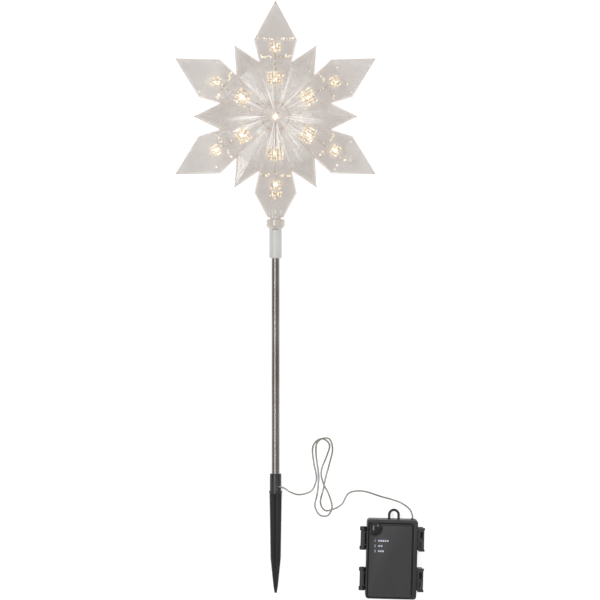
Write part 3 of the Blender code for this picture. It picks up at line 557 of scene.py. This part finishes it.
def tube(name, line, radius, sides, material, matrix, body):
    """A round tube along a line, closed at both ends.

    Its UV map runs round the tube from 0 to 1 and along it in metres.
    """
    points = []
    lengths = [0.0]
    side = Vector((0, 0, 1))
    for i, place in enumerate(line):
        ahead = heading(line, i)
        side = (side - ahead * side.dot(ahead)).normalized()
        across = ahead.cross(side)
        if i:
            lengths.append(lengths[-1] + (place - line[i - 1]).length)
        for angle in turns(sides):
            points.append(place + radius * (math.cos(angle) * side + math.sin(angle) * across))
    faces = []
    for i in range(len(line) - 1):
        faces.extend(band(i * sides, (i + 1) * sides, sides))
    faces.append(tuple(reversed(range(sides))))
    faces.append(tuple(range((len(line) - 1) * sides, len(line) * sides)))
    made = piece(name, points, faces, material, matrix, body)
    layer = made.data.uv_layers.new(name="sheath")
    for face in made.data.polygons:
        for loop in face.loop_indices:
            ring, step = divmod(made.data.loops[loop].vertex_index, sides)
            wraps = step == 0 and face.index % sides == sides - 1
            layer.data[loop].uv = ((sides if wraps else step) / sides, lengths[ring])
    return made


def make_cord():
    line = smooth_line(CORD_ROUTE, 10, CORD_DIAMETER / 2)
    sheath = cord_material()
    radius, body = CORD_DIAMETER / 2, "spike_and_box"
    cord = tube("lead_cord_finished", line, radius, CORD_SIDES, sheath, Matrix(), body)
    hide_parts("lead_cord")


# ---------- snowflake ----------

ARMS = 6
LED_INNER = 45.0 * MM
LED_OUTER = 82.5 * MM
HUB = 16.5 * MM
SHOULDER = 91.7 * MM
SHOULDER_HALF = 26.3 * MM
SMALL_POINT = 98.8 * MM
FACE_WALL = 1.6 * MM
NECK_START = 112.0 * MM
NECK_END = 122.0 * MM
TOP_ARM = 0
BOSS_ARM = 2
STEM_ARM = 3
BOSS_ALONG = 102.0 * MM
LEAD_LEVEL = -4.2 * MM
LEAD_CHANGE = 48  # the step at which an arm's pale lead turns brown


def skin_of(node):
    """The node's surface in the stake's frame, for finding heights on it."""
    source = NODES[node]
    into = STAKE.inverted() @ source.matrix_world
    points = [into @ vertex.co for vertex in source.data.vertices]
    return BVHTree.FromPolygons(points, [tuple(face.vertices) for face in source.data.polygons])


FRONT_SKIN = skin_of("snowflake_front")


def face_height(place):
    """Height of the front face above the seam plane."""
    hit = FRONT_SKIN.ray_cast(Vector((place.x, place.y, 0.1)), Vector((0, 0, -1)))[0]
    return hit.z if hit else 3.0 * MM


def around(angle, along, across=0.0, level=0.0):
    """A point given along and across a direction, the direction in degrees anticlockwise from +X."""
    turn = math.radians(angle)
    x = along * math.cos(turn) - across * math.sin(turn)
    y = along * math.sin(turn) + across * math.cos(turn)
    return Vector((x, y, level))


def polar(radius, angle, level):
    """A point at a radius and an angle in radians."""
    return Vector((radius * math.cos(angle), radius * math.sin(angle), level))


def arm_angle(arm):
    """An arm's direction in degrees. Arms are counted clockwise from the top."""
    return 90 - 60 * arm


class Batch:
    """Collects many small shapes into one mesh."""

    def __init__(self):
        self.points = []
        self.faces = []

    def bead(self, centre, radii, turn, rng):
        """A small cut-glass bead: a squashed faceted ball with slightly uneven corners."""
        rings = ((0.0, 1.0), (0.75, 0.62), (1.0, 0.0), (0.75, -0.62), (0.0, -1.0))
        sides = 6
        cosine, sine = math.cos(turn), math.sin(turn)
        index = []
        for width, height in rings:
            ring = []
            for angle in turns(1 if width == 0 else sides):
                loose = 1 + 0.20 * (rng.random() - 0.5)
                x = radii[0] * width * math.cos(angle) * loose
                y = radii[1] * width * math.sin(angle) * loose
                place = Vector((x * cosine - y * sine, x * sine + y * cosine, radii[2] * height))
                self.points.append(centre + place)
                ring.append(len(self.points) - 1)
            index.append(ring)
        for upper, lower in zip(index, index[1:]):
            for step in range(sides):
                after = (step + 1) % sides
                if len(upper) == 1:
                    self.faces.append((upper[0], lower[step], lower[after]))
                elif len(lower) == 1:
                    self.faces.append((upper[step], lower[0], upper[after]))
                else:
                    self.faces.append((upper[step], lower[step], lower[after], upper[after]))

    def flute(self, start, end, half, side, bow=0.0, steps=8):
        """A fine ridge that follows the face from start to end, thin at both ends.

        Side is 1 for the front and -1 for the back. Its top stands proud and its edges are sunk.
        """
        proud, sunk = 0.08 * MM, 0.15 * MM
        first = len(self.points)
        run = (end - start).normalized()
        across = Vector((-run.y, run.x, 0))
        for step in range(steps + 1):
            share = step / steps
            middle = start.lerp(end, share) + across * bow * math.sin(math.pi * share)
            width = half * (0.25 + 0.75 * math.sin(math.pi * (0.08 + 0.84 * share)))
            top = face_height(middle)
            for out, up in ((width, -sunk), (0, proud), (-width, -sunk)):
                place = middle + across * out
                self.points.append(Vector((place.x, place.y, side * (top + up))))
        for step in range(steps):
            a = first + 3 * step
            for low, high in ((0, 1), (1, 2), (2, 0)):
                self.faces.append((a + low, a + high, a + high + 3, a + low + 3))
        self.faces.append((first + 2, first + 1, first))
        last = first + 3 * steps
        self.faces.append((last, last + 1, last + 2))

    def pane(self, corners, level, thick):
        """A thin flat panel."""
        first = len(self.points)
        count = len(corners)
        for height in (level, level - thick):
            self.points.extend(Vector((corner.x, corner.y, height)) for corner in corners)
        self.faces.append(tuple(range(first, first + count)))
        self.faces.append(tuple(reversed(range(first + count, first + 2 * count))))
        self.faces.extend(tuple(reversed(face)) for face in band(first, first + count, count))

    def make(self, name, material, slot="clear_plastic", smooth=False):
        if self.faces:
            piece(name, self.points, self.faces, material, STAKE, "head", smooth, outwards=True)


def glow_materials():
    return {
        "bright": glowing("lens_bright", (1.0, 0.95, 0.84), 1.5),
        "soft": glowing("lens_soft", (1.0, 0.88, 0.66), 0.80),
        "amber": glowing("lens_amber", (0.58, 0.41, 0.26), 0.26),
    }


def under_face(place, depth=0.9 * MM):
    return Vector((place.x, place.y, face_height(place) - FACE_WALL - depth))


def add_lens(batches, place, angle, cells, pitch, power, rng):
    """The fluted lens over a lamp, in painted light: rows of glowing pale cells, dimly glowing tan edges
    between them and one or two glowing white cores.
    """
    turn = math.radians(angle) - math.pi / 2
    columns, rows = cells
    for row in range(2 * rows - 1):
        for column in range(2 * columns - 1):
            u = (column - columns + 1) / 2
            v = (row - rows + 1) / 2
            away = math.hypot(u / columns, v / rows) * 2
            across = (u + 0.36 * (rng.random() - 0.5)) * pitch[0]
            along = (v + 0.36 * (rng.random() - 0.5)) * pitch[1]
            chance = rng.random()
            lit = power * math.exp(-0.8 * away * away)
            inside = column % 2 == 0 and row % 2 == 0
            if inside and chance < 0.62 + 0.36 * lit:
                kind = "bright" if rng.random() < 0.16 * lit else "soft"
                size = 0.36 + 0.12 * rng.random()
            elif not inside and chance < 0.72:
                kind = "amber"
                size = 0.17 + 0.10 * rng.random()
            else:
                continue
            spot = around(angle, place[0] + along, place[1] - across)
            long = size * (0.9 + 0.7 * rng.random())
            batches[kind].bead(under_face(spot), (pitch[0] * size, pitch[1] * long, 0.5 * MM), turn, rng)
    for _ in range(rng.choice((1, 1, 2))):
        core = around(
            angle, place[0] + (rng.random() - 0.5) * 3.2 * MM, place[1] + (rng.random() - 0.5) * 4.0 * MM
        )
        wide = (1.5 + 0.6 * rng.random()) * MM * power
        batches["bright"].bead(under_face(core, 0.3 * MM), (wide, 1.2 * wide, 0.6 * MM), turn, rng)


def add_glints(batches, angle, along, across, count, size, rng, bright=0.3):
    """Loose small sparkles in a patch given by its ranges along and across a direction."""
    for _ in range(count):
        spot = around(angle, *(low + (high - low) * rng.random() for low, high in (along, across)))
        chance = rng.random()
        kind = "bright" if chance < bright else "soft" if chance < 0.75 else "amber"
        wide = size * (0.35 + 0.75 * rng.random())
        long = wide * (0.8 + 1.1 * rng.random())
        batches[kind].bead(under_face(spot, 0.5 * MM), (wide, long, 0.35 * MM), rng.random() * math.pi, rng)


def halo(name, place, radius, level, material):
    """Light scattered round a lamp, as a shallow dish with its brightness stored at each point."""
    points = [place + Vector((0, 0, level))]
    glow = [1.0]
    faces = []
    rings, sides = 6, 20
    for ring in range(1, rings + 1):
        share = ring / rings
        for angle in turns(sides):
            reach = radius * share * (1 + 0.12 * math.sin(3 * angle + place.x * 900) * share)
            points.append(place + polar(reach, angle, level - 0.8 * MM * share**2))
            glow.append(1 - share)
    for step in range(sides):
        faces.append((0, 1 + step, 1 + (step + 1) % sides))
    for ring in range(rings - 1):
        low = 1 + ring * sides
        for step in range(sides):
            after = (step + 1) % sides
            faces.append((low + step, low + sides + step, low + sides + after, low + after))
    made = piece(name, points, faces, material, STAKE, "head")
    layer = made.data.attributes.new("glow", "FLOAT", "POINT")
    layer.data.foreach_set("value", glow)
    return made


def make_lenses(batches, kinds, label):
    for kind, batch in batches.items():
        batch.make(f"lens_{kind}_{label}", kinds[kind], slot="warm_lamp")


# The lamps' light in the plastic is painted: glowing beads stand for lens cells, sparkles and cores, and
# glowing dishes for the halos.
def make_lights():
    rng = random.Random(11)
    kinds = glow_materials()
    scattered = halo_material()
    powers = ((0.85, 0.95), (1.0, 0.85), (1.15, 0.95), (0.85, 1.15), (0.95, 0.95), (0.95, 0.90))
    for arm in range(ARMS):
        angle = arm_angle(arm)
        inner_power, outer_power = powers[arm]
        batches = {kind: Batch() for kind in kinds}
        add_lens(batches, (LED_INNER, 0), angle, (6, 5), (3.3 * MM, 3.3 * MM), inner_power, rng)
        add_lens(batches, (LED_OUTER, 0), angle, (4, 3), (3.4 * MM, 3.4 * MM), outer_power, rng)
        if arm == STEM_ARM:
            add_lens(batches, (95.0 * MM, 0), angle, (5, 3), (3.2 * MM, 3.6 * MM), 0.35, rng)
        for side in (-1, 1):
            for step in range(8):
                reach = (69.0 + 3.0 * rng.random()) * MM
                across = side * (5.0 + 1.6 * step + 1.6 * rng.random()) * MM
                near = (across - 0.4 * MM, across + 0.4 * MM)
                count = rng.choice((0, 1, 1, 2))
                add_glints(batches, angle, (reach, reach + 0.8 * MM), near, count, 1.3 * MM, rng, 0.08)
            across = sorted((side * 4.0 * MM, side * 9.5 * MM))
            add_glints(batches, angle, (24.0 * MM, 36.0 * MM), across, 2, 0.8 * MM, rng, 0.2)
        for step in range(13):
            across = (step / 12 * 2 - 1) * 0.80 * SHOULDER_HALF
            near = (across - 1.2 * MM, across + 1.2 * MM)
            crowd = rng.choice((1, 2, 3) if arm == TOP_ARM else (0, 0, 0, 1))
            add_glints(batches, angle, (SHOULDER, SHOULDER + 1.8 * MM), near, crowd, 1.0 * MM, rng, 0.08)
        add_glints(batches, angle, (58.0 * MM, 76.0 * MM), (-1.6 * MM, 1.6 * MM), 7, 0.85 * MM, rng, 0.08)
        add_glints(batches, angle, (86.0 * MM, 94.0 * MM), (-8.0 * MM, 8.0 * MM), 4, 0.7 * MM, rng, 0.1)
        make_lenses(batches, kinds, arm + 1)
        halo(f"halo_inner_{arm + 1}", around(angle, LED_INNER), 14.0 * MM, 2.5 * MM, scattered)
        halo(f"halo_outer_{arm + 1}", around(angle, LED_OUTER), 11.5 * MM, 2.5 * MM, scattered)
    batches = {kind: Batch() for kind in kinds}
    for step in range(10):
        angle = 36 * step + 20 * rng.random()
        reach = (1.5 + 3.0 * rng.random()) * MM
        add_glints(batches, angle, (reach, reach + 0.5 * MM), (0, 0.5 * MM), 1, 1.0 * MM, rng, 0.6)
    batches["bright"].bead(Vector((0.4 * MM, 0.2 * MM, 13.6 * MM)), (2.0 * MM, 2.2 * MM, 0.6 * MM), 0.4, rng)
    make_lenses(batches, kinds, "centre")
    halo("halo_centre", Vector((0, 0, 0)), 10.0 * MM, 2.5 * MM, scattered)
    dress(LAMPS, glowing("lamp_body", (1.0, 0.92, 0.72), 1.6))


def flute_material(name, low, high):
    """White where light gathers in a moulded ridge; low and high are how solid it looks along its length."""
    recipe = Recipe(name, (0.93, 0.92, 0.90), 0.50)
    recipe.value("Specular IOR Level", 0.1)
    shimmer = recipe.noise(110, 2.0, 0.5)
    recipe.drive("Alpha", shimmer, [(0.38, low), (0.62, high)])
    recipe.drive("Base Color", shimmer, [(0.36, (0.80, 0.73, 0.67)), (0.60, (0.95, 0.94, 0.93))])
    recipe.glow((1.0, 0.97, 0.93), 0.20)
    return recipe.material


def line_material():
    recipe = Recipe("mould_line", (0.72, 0.62, 0.55), 0.2)
    worn = recipe.noise(170, 3.0, 0.6)
    recipe.drive("Alpha", worn, [(0.36, 0.02), (0.72, 0.36)])
    recipe.drive("Base Color", worn, [(0.3, (0.60, 0.49, 0.42)), (0.7, (0.88, 0.78, 0.69))])
    recipe.bump(worn, 0.2, 0.0001)
    return recipe.material


def make_flutes():
    """Fine moulded flutes that fan out from the hub, and the ridges along each arm's strip, drawn white and
    faintly glowing as painted light.
    """
    dull = line_material()
    for side, label, low, high in ((1, "front", 0.04, 0.50), (-1, "back", 0.80, 1.0)):
        bright = flute_material("flute_" + label, low, high)
        rng = random.Random(23)
        for arm in range(ARMS):
            white, lines = Batch(), Batch()
            gap = arm_angle(arm) - 30
            for step in range(9):
                spread = (step - 4) * 6.0 + 3.4 * (rng.random() - 0.5)
                start = (18.5 + 4.0 * rng.random() + 0.9 * abs(step - 4)) * MM
                length = (11.0 + 17.0 * rng.random()) * MM
                half = (0.22 + 0.46 * rng.random() ** 2) * MM * (1.0 if side > 0 else 0.45)
                bow = 0.6 * MM * (rng.random() - 0.5)
                for offset in (0.0, 1.7 * MM) if rng.random() < 0.5 else (0.0,):
                    begin = around(gap + spread, start, offset)
                    finish = around(gap + spread, start + length, offset * 1.4)
                    white.flute(begin, finish, half, side, bow)
            angle = arm_angle(arm)
            for edge in (-1, 1):
                for inward, width in ((0.0, 0.30), (1.9, 0.20)):
                    begin = around(angle, 21.0 * MM, edge * (7.6 - inward) * MM)
                    finish = around(angle, (50.0 + 4.0 * rng.random()) * MM, edge * (12.4 - inward) * MM)
                    white.flute(begin, finish, width * MM, side, 0.3 * MM * edge)
                begin = around(angle, 55.5 * MM, edge * 13.4 * MM)
                white.flute(begin, around(angle, 66.0 * MM, edge * 18.0 * MM), 0.26 * MM, side)
                if arm == TOP_ARM:
                    crease = around(angle, SHOULDER, edge * 1.0 * MM)
                    white.flute(crease, around(angle, SHOULDER, edge * 0.95 * SHOULDER_HALF), 0.24 * MM, side)
                tip = around(gap, SMALL_POINT - 5.0 * MM, edge * 0.3 * MM)
                notch = around(gap, 66.0 * MM, edge * 13.2 * MM)
                white.flute(tip, notch, 0.22 * MM, side, -0.5 * MM * edge)
                inner = around(gap, 64.0 * MM, edge * 9.0 * MM)
                lines.flute(around(gap, SMALL_POINT - 9.0 * MM), inner, 0.22 * MM, side, 1.1 * MM * edge)
            white.make(f"flutes_{label}_{arm + 1}", bright)
            lines.make(f"mould_lines_{label}_{arm + 1}", dull)


def make_tips():
    """Small beads of plastic at the very tips."""
    rng = random.Random(5)
    tips = Batch()
    for arm in range(ARMS):
        gap = arm_angle(arm) - 30
        for angle, reach in ((gap, SMALL_POINT - 1.6 * MM), (arm_angle(arm), 136.0 * MM)):
            if angle != arm_angle(STEM_ARM):
                tips.bead(around(angle, reach, level=2.6 * MM), (0.9 * MM, 0.9 * MM, 0.6 * MM), 0.3, rng)
    recipe = Recipe("tip_bead", (0.62, 0.42, 0.30), 0.25)
    tone = recipe.noise(600, 2.0)
    recipe.drive("Base Color", tone, [(0.3, (0.50, 0.33, 0.24)), (0.7, (0.74, 0.56, 0.44))])
    recipe.value("Alpha", 0.75)
    tips.make("tip_beads", recipe.material)


def ring_batch(radius, level, half, sides=48, centre=Vector((0, 0, 0))):
    """A turned ring of round section."""
    corners = 8
    batch = Batch()
    for angle in turns(sides):
        for turn in turns(corners):
            reach = radius + half * math.cos(turn)
            batch.points.append(centre + polar(reach, angle, level + half * math.sin(turn)))
    for step in range(sides):
        batch.faces.extend(band(step * corners, (step + 1) % sides * corners, corners))
    return batch


def make_hub():
    """A pinkish ring round the centre on both faces, and the boss in one arm, its ring and disc faintly
    glowing as painted light, with a painted glint beside it.
    """
    recipe = Recipe("hub_ring", (0.86, 0.60, 0.44), 0.25)
    tone = recipe.noise(75, 3.0)
    recipe.drive("Base Color", tone, [(0.35, (0.74, 0.46, 0.30)), (0.65, (0.95, 0.74, 0.60))])
    recipe.drive("Alpha", tone, [(0.36, 0.45), (0.62, 0.95)])
    recipe.bump(tone, 0.3, 0.0001)
    for side, label in ((1, "front"), (-1, "back")):
        height = side * face_height(around(0, HUB))
        ring = ring_batch(HUB, height - 0.2 * MM * side, 0.34 * MM)
        ring.make(f"hub_ring_{label}", recipe.material, smooth=True)
    boss = around(arm_angle(BOSS_ARM), BOSS_ALONG)
    level = face_height(boss) - FACE_WALL - 0.8 * MM
    # Painted light: the boss's ring and disc glow faintly white.
    circle = flute_material("boss_painted_light", 0.35, 0.70)
    ring_batch(3.7 * MM, level, 0.35 * MM, 32, centre=boss).make("boss_ring", circle, smooth=True)
    disc = Batch()
    corners = [boss + around(15 * step, 3.4 * MM) for step in range(24)]
    disc.pane(corners, level, 0.3 * MM)
    disc.make("boss_disc", circle)
    glint = Batch()
    near = boss + Vector((-5.2 * MM, -1.6 * MM, level))
    glint.bead(near, (1.7 * MM, 1.2 * MM, 0.5 * MM), 0.2, random.Random(3))
    glint.make("boss_glint", glowing("boss_glint", (1.0, 0.86, 0.55), 1.5), slot="warm_lamp")


def twisted_pair(line, spread, pitch):
    """Two lines wound round one line."""
    strands = ([], [])
    run = 0.0
    for i, place in enumerate(line):
        ahead = heading(line, i)
        side = Vector((0, 0, 1)).cross(ahead).normalized()
        up = ahead.cross(side)
        if i:
            run += (place - line[i - 1]).length
        angle = 2 * math.pi * run / pitch
        offset = spread * (math.cos(angle) * side + math.sin(angle) * up)
        strands[0].append(place + offset)
        strands[1].append(place - offset)
    return strands


def wire(name, line, radius, material):
    return tube(name, line, radius, 6, material, STAKE, "head")


def make_leads():
    """Twisted pairs of enamelled wire that run out along the arms in slight waves."""
    rng = random.Random(31)
    copper = copper_material("enamelled_copper", (0.42, 0.28, 0.17), (0.66, 0.50, 0.34), 0.9)
    pale = copper_material("pale_enamel", (0.66, 0.55, 0.46), (0.86, 0.79, 0.70), 0.14)
    middling = copper_material("thin_copper", (0.44, 0.30, 0.19), (0.66, 0.50, 0.35), 0.55)
    for arm in range(ARMS):
        angle = arm_angle(arm)
        line = []
        wave = rng.random() * 6
        for step in range(75):
            along = (5.0 + step) * MM
            across = 0.8 * MM * math.sin(wave + step * 0.23) * min(1.0, step / 10)
            line.append(around(angle, along, across, LEAD_LEVEL))
        for strand, places in enumerate(twisted_pair(line, 0.30 * MM, 6 * MM), start=1):
            inner, outer = places[:LEAD_CHANGE], places[LEAD_CHANGE - 1 :]
            made = wire(f"arm_lead_{arm + 1}_{strand}", inner, 0.22 * MM, pale)
            if strand == 1:
                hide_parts(f"arm_lead_{arm + 1}")
            brown = copper if arm == TOP_ARM else middling
            wire(f"outer_lead_{arm + 1}_{strand}", outer, 0.26 * MM, brown)
    bends = ((-23, 15.2), (-20, 14.2), (-17.5, 14.0), (-14.5, 14.6), (-12, 13.4))
    loop = [Vector((x * MM, y * MM, 10.5 * MM)) for x, y in bends]
    wire("hub_lead", smooth_line(loop, 6, -1), 0.45 * MM, copper)
    stem = []
    for step in range(40):
        down = (4.0 + step * 0.9) * MM
        stem.append(Vector((0.7 * MM * math.sin(step * 0.5), -down, 11.6 * MM)))
    for strand, places in enumerate(twisted_pair(stem, 0.42 * MM, 5 * MM), start=1):
        wire(f"centre_lead_{strand}", places, 0.34 * MM, copper)
    dress(["head_lead"], pale)


def make_neck():
    """Flutes in the neck above the collar, white and faintly glowing as painted light."""
    batch = Batch()
    for across, half in ((-6.2, 0.35), (-3.4, 0.45), (-0.2, 0.95), (2.6, 0.35), (5.6, 0.45)):
        start = Vector((across * 1.25 * MM, -NECK_START, 0))
        batch.flute(start, Vector((across * MM, -NECK_END, 0)), half * MM, 1, steps=5)
    batch.make("neck_flutes", flute_material("neck_flute", 0.30, 0.90))


def loaded(node):
    """A CAD node's mesh in the stake's frame."""
    work = bmesh.new()
    work.from_mesh(NODES[node].data)
    work.transform(STAKE.inverted() @ NODES[node].matrix_world)
    bmesh.ops.remove_doubles(work, verts=work.verts, dist=0.01 * MM)
    work.normal_update()
    return work


def largest_group(work):
    """The largest set of faces that hang together."""
    left = set(work.faces)
    best = set()
    while left:
        group, edge = set(), {left.pop()}
        while edge:
            group |= edge
            edge = {other for face in edge for line in face.edges for other in line.link_faces} - group
        left -= group
        if len(group) > len(best):
            best = group
    return best


def make_film(material):
    """The snowflake's clear plastic as one closed skin.

    It is made of the outer faces of both shells, joined along their rim.
    """
    film = bmesh.new()
    for node, up in (("snowflake_front", 1), ("snowflake_back", -1)):
        work = loaded(node)
        inner = [face for face in work.faces if face.normal.z * up < 0.02]
        bmesh.ops.delete(work, geom=inner, context="FACES")
        keep = largest_group(work)
        bmesh.ops.delete(work, geom=[face for face in work.faces if face not in keep], context="FACES")
        part = bpy.data.meshes.new("part")
        work.to_mesh(part)
        film.from_mesh(part)
        work.free()
        bpy.data.meshes.remove(part)
    rim = [vert for vert in film.verts if vert.is_boundary]
    upper = [vert for vert in rim if vert.co.z > 0]
    lower = [vert for vert in rim if vert.co.z <= 0]
    pairs = {}
    for vert in upper:
        partner = min(lower, key=lambda other: (other.co - vert.co).length)
        if (partner.co - vert.co).length < 0.6 * MM:
            partner.co = (partner.co + vert.co) / 2
            pairs[vert] = partner
    bmesh.ops.weld_verts(film, targetmap=pairs)
    bmesh.ops.holes_fill(film, edges=[edge for edge in film.edges if edge.is_boundary], sides=0)
    bmesh.ops.recalc_face_normals(film, faces=film.faces)
    data = bpy.data.meshes.new("snowflake_film")
    film.to_mesh(data)
    film.free()
    data.transform(STAKE)
    data.materials.append(material)
    shaded_smooth(data, 1)
    made = shown("snowflake_film", data, "head")
    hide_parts("snowflake_front", "snowflake_back")


def make_posts(material):
    """The posts on the back shell that the lamps sit on, each flared a little at its foot."""
    sides = 16
    points, faces = [], []
    for node in LAMPS:
        shape = STAKE.inverted() @ NODES[node].matrix_world
        places = [shape @ vert.co for vert in NODES[node].data.vertices]
        middle = sum(places, Vector()) / len(places)
        top = min(place.z for place in places) - 0.1 * MM
        foot = 0.3 * MM - face_height(Vector((middle.x, middle.y, 0)))
        first = len(points)
        axis = Vector((middle.x, middle.y, 0))
        flare, chamfer = foot + 0.7 * MM, top - 0.4 * MM
        profile = ((3.1 * MM, foot), (2.75 * MM, flare), (2.6 * MM, chamfer), (2.3 * MM, top))
        for radius, level in profile:
            points.extend(axis + polar(radius, angle, level) for angle in turns(sides))
        for row in range(len(profile) - 1):
            faces.extend(band(first + row * sides, first + (row + 1) * sides, sides))
        faces.append(tuple(first + step for step in reversed(range(sides))))
        faces.append(tuple(first + (len(profile) - 1) * sides + step for step in range(sides)))
    piece("lamp_posts", points, faces, material, STAKE, "head")


def make_snowflake():
    make_film(clear_plastic("clear_film"))
    make_posts(frosted("clear_posts", (0.80, 0.76, 0.72), 0.45))
    make_lights()
    make_flutes()
    make_tips()
    make_hub()
    make_leads()
    make_neck()


# ---------- pole, sleeve and spike ----------


def make_pole():
    finished_copy("pole", steel_material(), 0.12 * MM)
    dress(["pole_lead"], plated_material())
    sleeve = moulded("white_sleeve", (0.505, 0.50, 0.475), 0.30, mottle=0.05)
    finished_copy("pole_sleeve", sleeve, 0.35 * MM)
    finished_copy("neck_collar", frosted("frosted_collar", (0.63, 0.57, 0.505), 0.80), 0.35 * MM)
    finished_copy("ground_spike", moulded("spike_black", (0.013, 0.0125, 0.0145), 0.30), 0.25 * MM)


# ---------- battery box ----------


def bar(points, faces, x0, x1, y0, y1, z0, z1):
    """A small raised bar with chamfered top edges."""
    first = len(points)
    edge = min(x1 - x0, y1 - y0) * 0.25
    for inward, z in ((0, z0), (0, z1 - edge / 4), (edge, z1)):
        left, right, low, high = x0 + inward, x1 - inward, y0 + inward, y1 - inward
        points.extend(Vector((x, y, z)) for x, y in ((left, low), (right, low), (right, high), (left, high)))
    for ring in (first, first + 4):
        faces.extend(band(ring, ring + 4, 4))
    faces.append((first + 8, first + 9, first + 10, first + 11))
    faces.append((first + 3, first + 2, first + 1, first))


def bars(name, sizes, material, body):
    """One piece made of bars on the box, each given by its lowest and highest x, y and z."""
    points, faces = [], []
    for size in sizes:
        bar(points, faces, *size)
    piece(name, points, faces, material, BOX, body, smooth=False)


PRINT_LEFT = -20.6 * MM
PRINT_ROWS = (22.3 * MM, 16.1 * MM, 9.9 * MM)
LID_FACE = 28.0 * MM
LATCH_MIDDLE = 24.3 * MM
LATCH_WINDOW = (33.4 * MM, 36.6 * MM)


def make_print():
    """Numerals 1 to 3 beside plain bars, printed on the lid under the button."""
    recipe = Recipe("pad_print", (0.55, 0.58, 0.68), 0.5)
    wear = recipe.noise(900, 3.0, 0.6)
    recipe.drive("Base Color", wear, [(0.36, (0.28, 0.29, 0.34)), (0.58, (0.62, 0.66, 0.78))])
    for number, y in enumerate(PRINT_ROWS, start=1):
        data = bpy.data.curves.new(f"numeral_{number}", "FONT")
        data.body = str(number)
        data.size = 4.2 * MM
        data.extrude = 0.04 * MM
        data.align_x = "CENTER"
        data.align_y = "CENTER"
        data.materials.append(recipe.material)
        place = BOX @ Matrix.Translation((PRINT_LEFT, y, LID_FACE + 0.05 * MM))
        shown(data.name, data, "lid", place)
    rows = (
        ((0, 2.0), (2.5, 4.5), (5.0, 7.6), (8.1, 10.0), (10.5, 12.6)),
        ((0, 2.6), (3.1, 5.4)),
        ((0, 2.4), (2.9, 4.7), (5.2, 7.0)),
    )
    left, half = PRINT_LEFT + 3.6 * MM, 1.1 * MM
    low, high = LID_FACE - 0.02 * MM, LID_FACE + 0.09 * MM
    sizes = []
    for row, y in zip(rows, PRINT_ROWS):
        for start, end in row:
            sizes.append((left + start * MM, left + end * MM, y - half, y + half, low, high))
    bars("print_bars", sizes, recipe.material, "lid")


def make_panel_line(material):
    """Thin strips of painted shade on the lid's panel, just inside its top edge and its latch side, where the
    panel's step is in shadow.
    """
    low, high = LID_FACE - 0.10 * MM, LID_FACE + 0.04 * MM
    top = (-10.0 * MM, 24.0 * MM, 40.5 * MM, 41.2 * MM, low, high)
    side = (23.2 * MM, 24.1 * MM, -42.0 * MM, 40.4 * MM, low, high)
    bars("panel_shade_line", (top, side), material, "lid")


def make_latch_webs(material):
    """Thin near-black webs of painted shade that close the upper window of each latch's frame, where one
    looks into shade.
    """
    for number, middle in ((1, LATCH_MIDDLE), (2, -LATCH_MIDDLE)):
        web = (*LATCH_WINDOW, middle + 1.9 * MM, middle + 9.5 * MM, 20.8 * MM, 21.4 * MM)
        bars(f"latch_shade_web_{number}", (web,), material, f"latch_{number}")


def make_box():
    charcoal = moulded("charcoal", (0.0150, 0.0128, 0.0144), 0.50)
    black = moulded("fitting_black", (0.014, 0.0135, 0.0145), 0.36)
    # Near-black painted shade for the box's deep gaps, the panel's step and the latch windows.
    deep = moulded("gap_painted_shade", (0.003, 0.003, 0.003), 0.9)
    gloss = moulded("button_gloss", (0.003, 0.003, 0.0035), 0.20, mottle=0.1, grain_depth=0.00001)
    plated = plated_material()
    frame_tone = moulded("charcoal_frame", (0.0140, 0.0122, 0.0136), 0.50)
    finished_copy("base_shell", frame_tone, 0.25 * MM, deep)
    finished_copy("lid", charcoal, 0.25 * MM, deep)
    finished_copy("latch_1", black, 0.3 * MM)
    finished_copy("latch_2", black, 0.3 * MM)
    finished_copy("switch_button", gloss, 0.25 * MM)
    dress(["gasket"], moulded("gasket_rubber", (0.012, 0.012, 0.012), 0.75, grain=2500))
    dress([node for node in NODES if "pin_" in node or node.startswith("contact_")], plated)
    dress([node for node in NODES if node.startswith("cell_")], cell_material())
    dress(["circuit_board"], board_material())
    dress(["timer_chip", "push_switch", "cord_gland"], black)
    make_print()
    make_panel_line(deep)
    make_latch_webs(deep)


make_camera()
make_cord()
make_light()
make_floor()
make_snowflake()
make_pole()
make_box()
